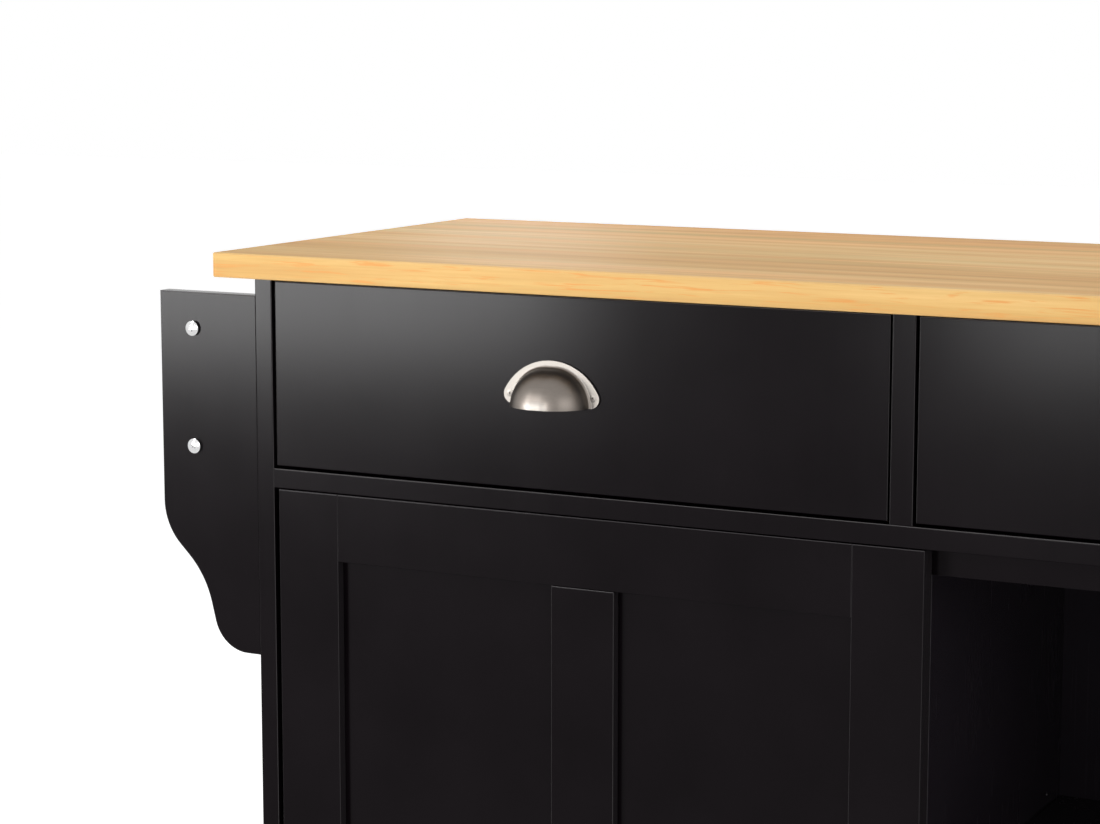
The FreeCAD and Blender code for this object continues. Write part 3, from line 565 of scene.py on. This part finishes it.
@dataclass(frozen=True)
class Metal:
    """Metal with brush marks or a plated skin and, if given, painted shade on flat front faces, which
    dims the lamps' reflection in them.
    """

    name: str
    tone: Colour
    dimmed: float = 0.86
    marks: Noise = Noise(stretch=(40.0, 900.0, 900.0), roughness=0.6)
    marks_share: float = 0.6
    cloud: Noise = Noise(scale=35.0, detail=2.0)
    # Painted shade: a tint that darkens faces looking straight forward or back.
    plate: Colour | None = None
    plate_facing: Pair = (0.96, 0.99)
    relief: Pair = (0.2, 0.01 * MM)
    gloss: Pair = (0.24, 0.36)

    def material(self) -> bpy.types.Material:
        """Build the material.

        Returns:
            The material.
        """
        r = Recipe(self.name)
        place = r.place()
        marks = r.noise(place, self.marks)
        dim = tuple(self.dimmed * value for value in self.tone)
        wear = r.mean(marks, r.noise(place, self.cloud), self.marks_share)
        colour = r.ramp(wear, USUAL, (dim, self.tone))
        # Painted shade: flat front faces, such as a pull's flange, are darkened so that they reflect
        # the lamps less brightly.
        if self.plate:
            front = r.span(r.sums("ABSOLUTE", r.facing()[1]), self.plate_facing)
            colour = r.blend(front, colour, r.tint(colour, self.plate))
        r.bump(marks, *self.relief)
        return r.finish(colour, r.span(marks, USUAL, self.gloss), Metallic=1.0)


@dataclass(frozen=True)
class Moulded:
    """Moulded plastic, paint or rubber with a fine texture."""

    name: str
    tone: Colour
    lift: Pair = (1.25, 0.004)
    cloud: Noise = Noise(scale=60.0)
    cloud_places: Pair = (0.3, 0.75)
    skin: Noise = Noise(scale=700.0)
    relief: Pair = (0.25, 0.05 * MM)
    gloss: Pair = (0.42, 0.55)
    metallic: float = 0.0

    def material(self) -> bpy.types.Material:
        """Build the material.

        Returns:
            The material.
        """
        r = Recipe(self.name)
        place = r.place()
        skin = r.noise(place, self.skin)
        lifted = tuple(min(1.0, self.lift[0] * value + self.lift[1]) for value in self.tone)
        colour = r.ramp(r.noise(place, self.cloud), self.cloud_places, (self.tone, lifted))
        r.bump(skin, *self.relief)
        return r.finish(colour, r.span(skin, USUAL, self.gloss), Metallic=self.metallic)


@dataclass(frozen=True)
class WheelRubber:
    """A caster wheel: matt rubber tread round a smoother moulded hub."""

    name: str
    centre: Vector
    hub_radius: float = 17.0 * MM
    hub_fade: float = 0.3 * MM
    tread: Colour = (0.020, 0.020, 0.021)
    tread_lift: float = 1.5
    hub: Colour = (0.060, 0.060, 0.063)
    cloud: Noise = Noise(scale=90.0)
    skin: Noise = Noise(scale=500.0)
    relief: Pair = (0.25, 0.05 * MM)
    gloss: Pair = (0.58, 0.70)
    hub_smoother: float = 0.2
    level: float = 0.35

    def from_axle(self, r: Recipe, place: Socket) -> Socket:
        """Measure the way out from the axle.

        Args:
            r: The recipe.
            place: The point on the wheel.

        Returns:
            The radius in metres.
        """
        axes = r.split(place)
        across = r.sums("SUBTRACT", axes[0], self.centre.x)
        up = r.sums("SUBTRACT", axes[2], self.centre.z)
        squares = (r.sums("MULTIPLY", across, across), r.sums("MULTIPLY", up, up))
        return r.sums("SQRT", r.sums("ADD", *squares))

    def material(self) -> bpy.types.Material:
        """Build the material: its tone changes at a radius about the axle.

        Returns:
            The material.
        """
        r = Recipe(self.name)
        place = r.place()
        hub_at = (self.hub_radius, self.hub_radius - self.hub_fade)
        inside = r.span(self.from_axle(r, place), hub_at)
        lifted = tuple(self.tread_lift * value for value in self.tread)
        tone = r.ramp(r.noise(place, self.cloud), USUAL, (self.tread, lifted))
        skin = r.noise(place, self.skin)
        r.bump(skin, *self.relief)
        rough = r.sums("SUBTRACT", r.span(skin, USUAL, self.gloss),
                       r.sums("MULTIPLY", inside, self.hub_smoother))
        return r.finish(r.blend(inside, tone, self.hub), rough, Specular_IOR_Level=self.level)


def seen_by(tree: bpy.types.NodeTree, first: str, *others: str) -> Socket:
    """One for the kinds of ray that are named.

    Args:
        tree: The node tree that uses it.
        first: The Light Path output of the first kind.
        others: The outputs of the other kinds.

    Returns:
        The factor.
    """
    path = tree.nodes.new("ShaderNodeLightPath")
    seen = path.outputs[first]
    for name in others:
        node = tree.nodes.new("ShaderNodeMath")
        node.operation = "MAXIMUM"
        tree.links.new(seen, node.inputs[0])
        tree.links.new(path.outputs[name], node.inputs[1])
        seen = node.outputs[0]
    return seen


@dataclass(frozen=True)
class FloorPaint:
    """The studio floor: pale and matt with a glow, which keeps shadows but is even in mirrors."""

    name: str = "floor_paint"
    low: Colour = (0.80, 0.80, 0.80)
    high: Colour = (0.83, 0.83, 0.83)
    cloud: Noise = Noise(scale=3.0)
    gloss: Pair = (0.8, 0.9)
    level: float = 0.1
    glow: float = 0.62
    in_mirrors: float = 0.9

    def glowing(self, r: Recipe, strength: float) -> Socket:
        """A plain white glow.

        Args:
            r: The recipe.
            strength: How strong it is.

        Returns:
            The shader.
        """
        glow = r.add("ShaderNodeEmission")
        glow.inputs["Strength"].default_value = strength
        return glow.outputs[0]

    def material(self) -> bpy.types.Material:
        """Build the material: what lights the island, what the camera sees and what mirrors see.

        Returns:
            The material.
        """
        r = Recipe(self.name)
        tone = r.noise(r.place(), self.cloud)
        colour = r.ramp(tone, USUAL, (self.low, self.high))
        r.finish(colour, r.span(tone, USUAL, self.gloss), Specular_IOR_Level=self.level)
        shown = r.add("ShaderNodeAddShader")
        r.join(r.shader.outputs[0], shown.inputs[0])
        r.join(self.glowing(r, self.glow), shown.inputs[1])
        surface = r.shader.outputs[0]
        for seen, shader in (
                (seen_by(r.tree, "Is Camera Ray"), shown.outputs[0]),
                (seen_by(r.tree, "Is Glossy Ray", "Is Transmission Ray"),
                 self.glowing(r, self.in_mirrors))):
            mix = r.add("ShaderNodeMixShader")
            for source, target in zip((seen, surface, shader), mix.inputs):
                r.join(source, target)
            surface = mix.outputs[0]
        r.join(surface, r.tree.nodes["Material Output"].inputs["Surface"])
        return r.material


def put(name: str, data: bpy.types.ID) -> bpy.types.Object:
    """Put an object in the scene.

    Args:
        name: Its name.
        data: Its mesh, lamp or camera.

    Returns:
        The object.
    """
    thing = bpy.data.objects.new(name, data)
    bpy.context.scene.collection.objects.link(thing)
    return thing


def outward_mesh(name: str, shape: bmesh.types.BMesh) -> bpy.types.Mesh:
    """Turn a shape into a mesh whose faces look outward.

    Args:
        name: The mesh's name.
        shape: The shape, which is freed.

    Returns:
        The mesh.
    """
    data = bpy.data.meshes.new(name)
    bmesh.ops.recalc_face_normals(shape, faces=shape.faces)
    shape.to_mesh(data)
    shape.free()
    return data


class Palette:
    """Every finish of the island, made once and handed out by name."""

    def __init__(self) -> None:
        """Build the materials, most of which have the name of the record's slot."""
        top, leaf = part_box("worktop"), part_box("drop_leaf")
        # Painted light for the door's side faces, which lie in shade.
        door_side_light = (0.020, 0.017, 0.019)
        looks = (
            StaveWood("top_wood", *top, across=1, through=2),
            Lacquer("black_lacquer"),
            # Painted light: the door's lacquer has a weaker painted highlight on its chamfers than
            # the black lacquer, and door and slat both have painted light on their side faces.
            Lacquer("door_lacquer_painted_light", bevel_highlight=(0.072, 0.067, 0.070), side=door_side_light),
            Lacquer("slat_lacquer_painted_light", side=door_side_light),
            # Painted light: the boards inside the cabinet are far paler than the outer lacquer,
            # standing in for light inside it, and their chamfers carry a brighter painted highlight.
            Lacquer("inner_lacquer_painted_light", deep=(0.0175, 0.0140, 0.0182), lifted=(0.0205, 0.0168, 0.0212),
                    bevel_highlight=(0.24, 0.23, 0.235), gloss=(0.24, 0.28)),
            PlainWood("drawer_wood"),
            # The plate tint is painted shade on the flange's flat front, which would otherwise shine
            # too bright.
            Metal("satin_nickel", (0.225, 0.198, 0.176), gloss=(0.32, 0.40),
                  plate=(0.75, 0.79, 0.81)),
            Metal("zinc_steel", (0.58, 0.60, 0.62),
                  marks=Noise(stretch=(300.0, 300.0, 300.0), roughness=0.6)),
            Metal("chrome_screws", (0.82, 0.82, 0.82), gloss=(0.08, 0.16),
                  marks=Noise(stretch=(90.0, 90.0, 90.0), roughness=0.6)),
            Lacquer("track_aluminium", gloss=(0.34, 0.40), level=0.03,
                    grain=Noise(stretch=(6.0, 400.0, 400.0), roughness=0.55, distortion=0.4)),
            Moulded("black_plastic", (0.016, 0.016, 0.017)),
            Moulded("white_nylon", (0.66, 0.66, 0.63), gloss=(0.35, 0.45)),
            Moulded("caster_paint", (0.020, 0.020, 0.022), gloss=(0.25, 0.38),
                    skin=Noise(scale=300.0), metallic=0.6),
            Moulded("caster_rubber", (0.022, 0.022, 0.023), gloss=(0.55, 0.7),
                    skin=Noise(scale=400.0)),
            StaveWood("leaf_wood", *leaf, across=2, through=1, staves=3),
        )
        self.finishes: dict[str, bpy.types.Material] = {
            look.name: look.material() for look in looks}

    def dress(self, node: bpy.types.Object, material: bpy.types.Material) -> None:
        """Give a CAD node a finish on its object's material slots.

        Args:
            node: The CAD node's object.
            material: The finish.
        """
        if not node.material_slots:
            node.data.materials.append(material)
        for held in node.material_slots:
            held.link = "OBJECT"
            held.material = material

    def piece(self, name: str, shape: bmesh.types.BMesh, body: str, slot: str,
              smooth: float = 35.0) -> bpy.types.Object:
        """Turn a shape into a piece that rides on a body.

        Args:
            name: The piece's name.
            shape: The shape, which is freed.
            body: The CAD body that carries the piece.
            slot: The record's material slot, whose finish the piece gets.
            smooth: Edges that bend more than this many degrees stay sharp.

        Returns:
            The piece.
        """
        data = outward_mesh(name, shape)
        data.shade_smooth()
        data.set_sharp_from_angle(angle=math.radians(smooth))
        piece = put(name, data)
        piece.data.materials.append(self.finishes[slot])
        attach(piece, body)
        return piece


@dataclass(frozen=True)
class Seat:
    """Where a screw head sits: the point on the surface, its way and its turn in degrees."""

    point: Vector
    away: Away
    turn: float


@dataclass
class ScrewHead:
    """A screw head on +Z with a cross recess, as seen where a screw holds a fitting."""

    radius: float = 6.9 * MM
    height: float = 3.8 * MM
    edge: float = 2.4 * MM
    sunk: float = 0.4 * MM
    arm: float = 3.2 * MM
    width: float = 1.3 * MM
    depth: float = 2.4 * MM
    sides: int = 48
    dome_rings: int = 8
    recess_foot: float = 0.35
    recess_mouth: float = 1.15
    recess_taper: float = 0.4
    cutter_above: float = 1.0 * MM

    def profile(self) -> list[Pair]:
        """Draw the outline of the dome.

        Returns:
            Its radius and height at each ring, from the foot to the middle.
        """
        rise = self.height - self.edge
        sphere = (self.radius ** 2 + rise ** 2) / (2 * rise)
        rings = [(self.radius, -self.sunk), (self.radius, self.edge)]
        for step in range(1, self.dome_rings + 1):
            r = self.radius * (1 - step / (self.dome_rings + 1))
            rings.append((r, self.height - sphere + math.sqrt(sphere ** 2 - r ** 2)))
        return rings

    def blank(self) -> bmesh.types.BMesh:
        """Turn the head without its recess.

        Returns:
            The shape.
        """
        shape = bmesh.new()
        angles = [2 * math.pi * side / self.sides for side in range(self.sides)]
        rings = [[shape.verts.new((r * math.cos(a), r * math.sin(a), z)) for a in angles]
                 for r, z in self.profile()]
        for lower, upper in zip(rings, rings[1:]):
            for side in range(self.sides):
                after = (side + 1) % self.sides
                shape.faces.new((lower[side], lower[after], upper[after], upper[side]))
        shape.faces.new(rings[0][::-1])
        shape.faces.new(rings[-1])
        return shape

    def cutter(self) -> bmesh.types.BMesh:
        """Shape the tool that cuts the recess: two crossed wedges, narrower at the bottom.

        Returns:
            The shape.
        """
        shape = bmesh.new()
        levels = ((self.height - self.depth, self.recess_foot),
                  (self.height + self.cutter_above, self.recess_mouth))
        for turn in (0.0, math.pi / 2):
            spin = Matrix.Rotation(turn, 4, "Z")
            corners = []
            for z, share in levels:
                x = self.arm * share
                y = self.width / 2 * ((1 - self.recess_taper) + self.recess_taper * share)
                corners += [shape.verts.new(spin @ Vector(corner)) for corner in
                            ((-x, -y, z), (x, -y, z), (x, y, z), (-x, y, z))]
            for face in WEDGE_FACES:
                shape.faces.new([corners[index] for index in face])
        return shape

    def cut(self) -> bpy.types.Mesh:
        """Cut the recess into the head.

        Returns:
            The mesh of the head, about the origin.
        """
        head = put("screw_blank", outward_mesh("screw_blank", self.blank()))
        tool = put("screw_cutter", outward_mesh("screw_cutter", self.cutter()))
        change = head.modifiers.new("recess", "BOOLEAN")
        change.operation = "DIFFERENCE"
        change.solver = "EXACT"
        change.use_self = True
        change.object = tool
        graph = bpy.context.evaluated_depsgraph_get()
        made = bpy.data.meshes.new_from_object(head.evaluated_get(graph))
        for thing in (head, tool):
            data = thing.data
            bpy.data.objects.remove(thing)
            bpy.data.meshes.remove(data)
        return made

    def copies(self, seats: Iterable[Seat]) -> bmesh.types.BMesh:
        """Set heads at several places.

        Args:
            seats: Where the heads sit.

        Returns:
            The heads, joined as one shape.
        """
        one = self.cut()
        shape = bmesh.new()
        for seat in seats:
            part = bmesh.new()
            part.from_mesh(one)
            spin = Matrix.Rotation(math.radians(seat.turn), 4, "Z")
            part.transform(Matrix.Translation(seat.point) @ seat.away.turn() @ spin)
            data = bpy.data.meshes.new("screw_copy")
            part.to_mesh(data)
            part.free()
            shape.from_mesh(data)
            bpy.data.meshes.remove(data)
        bpy.data.meshes.remove(one)
        return shape


@dataclass
class SideRacks:
    """The towel rack and the spice rack: their domed screws with cross recesses."""

    palette: Palette
    rod_radius: float = 8.0 * MM
    head: ScrewHead = field(default_factory=ScrewHead)
    turn: float = 20.0
    turn_per_row: float = 35.0
    turn_per_rack: float = 15.0

    def seats(self) -> list[Seat]:
        """Find the ends of the rods on the brackets' outer faces.

        Returns:
            Where the screws sit.
        """
        low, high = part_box("rack_rods")
        front, rear = (corner.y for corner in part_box("towel_brackets"))
        found = []
        for rack, x in enumerate((low.x + self.rod_radius, high.x - self.rod_radius)):
            for row, z in enumerate((high.z - self.rod_radius, low.z + self.rod_radius)):
                turn = self.turn + self.turn_per_row * row + self.turn_per_rack * rack
                found.append(Seat(Vector((x, front, z)), Away.FRONT, turn))
                found.append(Seat(Vector((x, rear, z)), Away.REAR, turn))
        return found

    def build(self) -> list[bpy.types.Object]:
        """Replace the plain screws by screws with recessed heads.

        Returns:
            The pieces.
        """
        shape = self.head.copies(self.seats())
        screws = self.palette.piece("rack_screw_heads", shape, "cabinet", "chrome_screws")
        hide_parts("rack_screws")
        return [screws]


@dataclass
class Drawers:
    """The drawers: the screws of their cup pulls, and the flare where cup and flange meet."""

    palette: Palette
    flange_sheet: float = 2.0 * MM
    cup_radius: float = 33.0 * MM
    cup_spread: float = 4.0 * MM
    flare: float = 2.6 * MM
    flare_steps: int = 6
    quarter_steps: int = 24
    flare_smooth: float = 60.0
    screw_spread: float = 40.4 * MM
    screw_up: float = 9.0 * MM
    screw_turn: float = 15.0
    screw_turn_apart: float = 30.0
    screw: ScrewHead = field(default_factory=lambda: ScrewHead(
        radius=3.2 * MM, height=0.2 * MM, edge=0.02 * MM, sunk=1.3 * MM, arm=1.9 * MM,
        width=0.8 * MM, depth=1.0 * MM, sides=32))

    def flare_profile(self) -> list[Pair]:
        """Draw the hollow round of small radius that leads from the flange's face into the cup.

        Returns:
            Its distance from the cup's middle and its height over the drawer front, step by step.
        """
        reach = self.flange_sheet + self.flare
        centre = math.sqrt((self.cup_radius + self.flare) ** 2 - reach ** 2)
        tilt = math.atan2(reach, centre)
        points = []
        for step in range(self.flare_steps + 1):
            angle = math.pi / 2 + (math.pi / 2 - tilt) * step / self.flare_steps
            points.append((centre + self.flare * math.cos(angle),
                           reach - self.flare * math.sin(angle)))
        return points

    def flare_strip(self, base: Vector) -> bmesh.types.BMesh:
        """Carry the round about the cup, as two quarter turns with a straight run between them.

        Args:
            base: The middle of the flange's lower edge, on the drawer front's face.

        Returns:
            The strip.
        """
        shape = bmesh.new()
        profile = self.flare_profile()
        rings = []
        for side in (1, -1):
            for number in range(self.quarter_steps + 1):
                share = number / self.quarter_steps
                turn = math.pi / 2 * (share if side > 0 else 1 - share)
                across, up = side * math.cos(turn), math.sin(turn)
                spread = side * self.cup_spread
                rings.append([shape.verts.new(base + Vector((spread + r * across, -y, r * up)))
                              for r, y in profile])
        for first, second in zip(rings, rings[1:]):
            for low in range(self.flare_steps):
                shape.faces.new((first[low], second[low], second[low + 1], first[low + 1]))
        return shape

    def seats(self, base: Vector) -> list[Seat]:
        """Find the lobes of one pull.

        Args:
            base: The middle of the flange's lower edge, on the drawer front's face.

        Returns:
            Where its two screws sit.
        """
        found = []
        for side in (-1, 1):
            offset = Vector((side * self.screw_spread, -self.flange_sheet, self.screw_up))
            turn = self.screw_turn + self.screw_turn_apart * side
            found.append(Seat(base + offset, Away.FRONT, turn))
        return found

    def build(self) -> list[bpy.types.Object]:
        """Set two screws in the lobes of each pull, and the flare round each cup.

        Returns:
            The pieces.
        """
        made = []
        for side in ("left", "right"):
            low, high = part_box(f"drawer_{side}_pull")
            base = Vector(((low.x + high.x) / 2, high.y, low.z))
            body = f"drawer_{side}"
            made.append(self.palette.piece(f"pull_screws_{side}", self.screw.copies(self.seats(base)),
                                           body, "satin_nickel"))
            made.append(self.palette.piece(f"pull_flare_{side}", self.flare_strip(base),
                                           body, "satin_nickel", self.flare_smooth))
        return made


def solids(node: str) -> list[tuple[Vector, Vector]]:
    """The box of each separate solid of a CAD node.

    Args:
        node: The node's name.

    Returns:
        The lowest and highest corner of each solid, from left to right.
    """
    shape = bmesh.new()
    shape.from_mesh(bpy.data.objects[node].data)
    bmesh.ops.remove_doubles(shape, verts=shape.verts, dist=WELD)
    left = set(shape.verts)
    boxes = []
    while left:
        solid, edge = set(), [left.pop()]
        while edge:
            vert = edge.pop()
            solid.add(vert)
            near = {link.other_vert(vert) for link in vert.link_edges} & left
            left -= near
            edge.extend(near)
        columns = list(zip(*(vert.co for vert in solid)))
        boxes.append((Vector([min(c) for c in columns]), Vector([max(c) for c in columns])))
    shape.free()
    return sorted(boxes, key=lambda pair: tuple(pair[0]))


@dataclass(frozen=True)
class ScrewRows:
    """Screws through every solid of one node, in rows and columns on its flat plate."""

    node: str
    body: str
    away: Away
    sheet: float
    columns: tuple[float, ...]
    rows: tuple[float, ...]
    turn_per_column: float = 25.0
    turn_per_metre: float = 900.0

    def seats(self) -> list[Seat]:
        """Find the place of each head on the inner face of its plate.

        Returns:
            Where the screws sit.
        """
        axis = max(range(3), key=lambda index: abs(self.away.value[index]))
        other = 3 - axis
        forward = self.away.value[axis] > 0
        found = []
        for low, high in solids(self.node):
            for column, across in enumerate(self.columns):
                for row in self.rows:
                    point = (low + high) / 2
                    point.x += across
                    point[other] = low[other] + row
                    point[axis] = low[axis] + self.sheet if forward else high[axis] - self.sheet
                    turn = self.turn_per_column * column + self.turn_per_metre * row
                    found.append(Seat(point, self.away, turn))
        return found


@dataclass
class Fastenings:
    """The small pan head screws that hold hinges, leaf supports, door hangers and casters."""

    palette: Palette
    head: ScrewHead = field(default_factory=lambda: ScrewHead(
        radius=3.4 * MM, height=1.7 * MM, edge=0.5 * MM, sunk=0.3 * MM, arm=1.8 * MM,
        width=0.8 * MM, depth=1.2 * MM, sides=24))
    screwed: tuple[ScrewRows, ...] = (
        ScrewRows("hinge_plates_fixed", "cabinet", Away.DOWN, sheet=1.5 * MM,
                  columns=(-20 * MM, 0.0, 20 * MM), rows=(8 * MM,)),
        ScrewRows("hinge_plates_moving", "leaf", Away.FRONT, sheet=1.5 * MM,
                  columns=(-20 * MM, 0.0, 20 * MM), rows=(8 * MM,)),
        ScrewRows("strut_brackets", "cabinet", Away.REAR, sheet=2.5 * MM,
                  columns=(-12 * MM, 12 * MM), rows=(10 * MM, 60 * MM)),
        ScrewRows("strut_channels", "leaf", Away.FRONT, sheet=2.0 * MM,
                  columns=(0.0,), rows=(10 * MM,)),
        ScrewRows("door_hangers", "door", Away.REAR, sheet=2.5 * MM,
                  columns=(-12 * MM, 12 * MM), rows=(9 * MM,)),
        ScrewRows("caster_plates", "cabinet", Away.DOWN, sheet=2.5 * MM,
                  columns=(-18.5 * MM, 18.5 * MM), rows=(6.5 * MM, 43.5 * MM)))

    def build(self) -> list[bpy.types.Object]:
        """Set the screws of each node.

        Returns:
            The pieces.
        """
        return [self.palette.piece(f"{rows.node}_screws", self.head.copies(rows.seats()),
                                   rows.body, "zinc_steel") for rows in self.screwed]


@dataclass(frozen=True)
class Lamp:
    """A soft rectangular lamp: where it hangs, the point it looks at, its width and height."""

    name: str
    place: tuple[float, float, float]
    aim: tuple[float, float, float]
    size: Pair
    watts: float

    def hang(self) -> None:
        """Hang the lamp."""
        data = bpy.data.lights.new(self.name, "AREA")
        data.shape = "RECTANGLE"
        data.size, data.size_y = self.size
        data.energy = self.watts
        lamp = put(self.name, data)
        lamp.location = self.place
        way = Vector(self.aim) - Vector(self.place)
        lamp.rotation_euler = way.to_track_quat("-Z", "Y").to_euler()


@dataclass
class Studio:
    """Pale floor, white surroundings, soft lamps and the camera at the photograph's angle."""

    yaw: float = 27.85
    pitch: float = 8.33
    focal_px: float = 2775.0
    frame_px: tuple[int, int] = (1100, 824)
    corner_px: Pair = (212.3, 252.35)
    corner_depth: float = 2523.0 * MM
    sensor_mm: float = 36.0
    sight: float = 60.0
    floor_size: float = 30.0
    sky: float = 0.45
    sky_seen: float = 1.0
    lamps: tuple[Lamp, ...] = (
        Lamp("key", (-2.38, -2.95, 0.74), aim=(-0.5, -0.2, 0.86), size=(1.15, 0.60), watts=68.0),
        Lamp("strip", (-2.45, -2.95, 1.95), aim=(-0.4, -0.2, 0.9), size=(0.3, 1.6), watts=20.0),
        Lamp("front", (-0.86, -3.5, 0.90), aim=(-0.2, -0.2, 0.8), size=(0.40, 0.9), watts=27.0),
        Lamp("side", (3.2, -2.6, 1.6), aim=(0.2, 0.0, 0.6), size=(3.0, 2.6), watts=31.0),
        Lamp("back", (-1.95, 2.7, 1.2), aim=(-0.5, 0.0, 0.9), size=(0.4, 0.4), watts=5.0),
        Lamp("top", (0.0, 0.7, 3.2), aim=(0.0, 0.1, 0.5), size=(2.4, 1.6), watts=24.0))

    def camera(self) -> None:
        """Set the camera so that the worktop's front left corner falls on its pixel."""
        data = bpy.data.cameras.new("camera")
        data.sensor_width = self.sensor_mm
        data.lens = self.focal_px / self.frame_px[0] * data.sensor_width
        data.clip_end = self.sight
        camera = put("camera", data)
        turn = Matrix.Rotation(math.radians(self.yaw), 4, "Z")
        turn = turn @ Matrix.Rotation(math.radians(90.0 - self.pitch), 4, "X")
        across = (self.corner_px[0] - self.frame_px[0] / 2) / self.focal_px
        down = (self.corner_px[1] - self.frame_px[1] / 2) / self.focal_px
        ray = Vector((across, -down, -1.0)) * self.corner_depth
        low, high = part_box("worktop")
        corner = Vector((low.x, low.y, high.z))
        camera.matrix_world = Matrix.Translation(corner - turn @ ray) @ turn
        bpy.context.scene.camera = camera

    def world(self) -> None:
        """White to the camera and in reflections, and a soft pale light for everything else."""
        world = bpy.data.worlds.new("studio")
        world.use_nodes = True
        bpy.context.scene.world = world
        tree = world.node_tree
        lamp, clear = tree.nodes["Background"], tree.nodes.new("ShaderNodeBackground")
        for node, strength in ((lamp, self.sky), (clear, self.sky_seen)):
            node.inputs["Color"].default_value = WHITE
            node.inputs["Strength"].default_value = strength
        mix = tree.nodes.new("ShaderNodeMixShader")
        seen = seen_by(tree, "Is Camera Ray", "Is Glossy Ray", "Is Transmission Ray")
        for source, target in zip((seen, lamp.outputs[0], clear.outputs[0]), mix.inputs):
            tree.links.new(source, target)
        tree.links.new(mix.outputs[0], tree.nodes["World Output"].inputs["Surface"])

    def floor(self) -> None:
        """Lay a pale floor that keeps the island's shadow."""
        shape = bmesh.new()
        half = self.floor_size / 2
        shape.faces.new([shape.verts.new(corner) for corner in (
            (-half, -half, 0), (half, -half, 0), (half, half, 0), (-half, half, 0))])
        data = bpy.data.meshes.new("floor")
        shape.to_mesh(data)
        shape.free()
        floor = put("floor", data)
        floor.data.materials.append(FloorPaint().material())

    def build(self) -> None:
        """Set up the whole studio."""
        self.camera()
        self.world()
        self.floor()
        for lamp in self.lamps:
            lamp.hang()
        bpy.context.scene.view_settings.view_transform = "Standard"


@dataclass
class Island:
    """The whole island: finishes on the CAD nodes, then the small fittings."""

    frame: dict[str, Any]
    palette: Palette = field(default_factory=Palette)

    def finish_of(self, node: str, slot: str) -> bpy.types.Material:
        """Pick the finish of a CAD node.

        Args:
            node: The node's name.
            slot: Its material slot in the record.

        Returns:
            The finish.
        """
        if node.startswith("caster_wheel_"):
            low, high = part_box(node)
            return WheelRubber(f"{node}_rubber", (low + high) / 2).material()
        return self.palette.finishes[OWN_FINISH.get(node, slot)]

    def dress_nodes(self) -> None:
        """Give every CAD node its finish."""
        for part in self.frame["record"]["subparts"]:
            node = part["node"]
            self.palette.dress(self.frame["nodes"][node], self.finish_of(node, part["material_slot"]))

    def build(self) -> None:
        """Dress the nodes and add the fittings of each sub-assembly."""
        self.dress_nodes()
        for assembly in (SideRacks(self.palette), Drawers(self.palette), Fastenings(self.palette)):
            for piece in assembly.build():
                LOG.info("made %s with %d faces", piece.name, len(piece.data.polygons))


def main() -> None:
    """Build the island and its studio; each fitting's face count is logged as it is made."""
    logging.basicConfig(level=logging.INFO, format="%(name)s: %(message)s")
    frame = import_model()
    for old in [thing for thing in bpy.data.objects if thing.type in {"CAMERA", "LIGHT"}]:
        bpy.data.objects.remove(old)
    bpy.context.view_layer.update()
    Island(frame).build()
    Studio().build()
    bpy.context.view_layer.update()


if __name__ == "__main__":
    main()
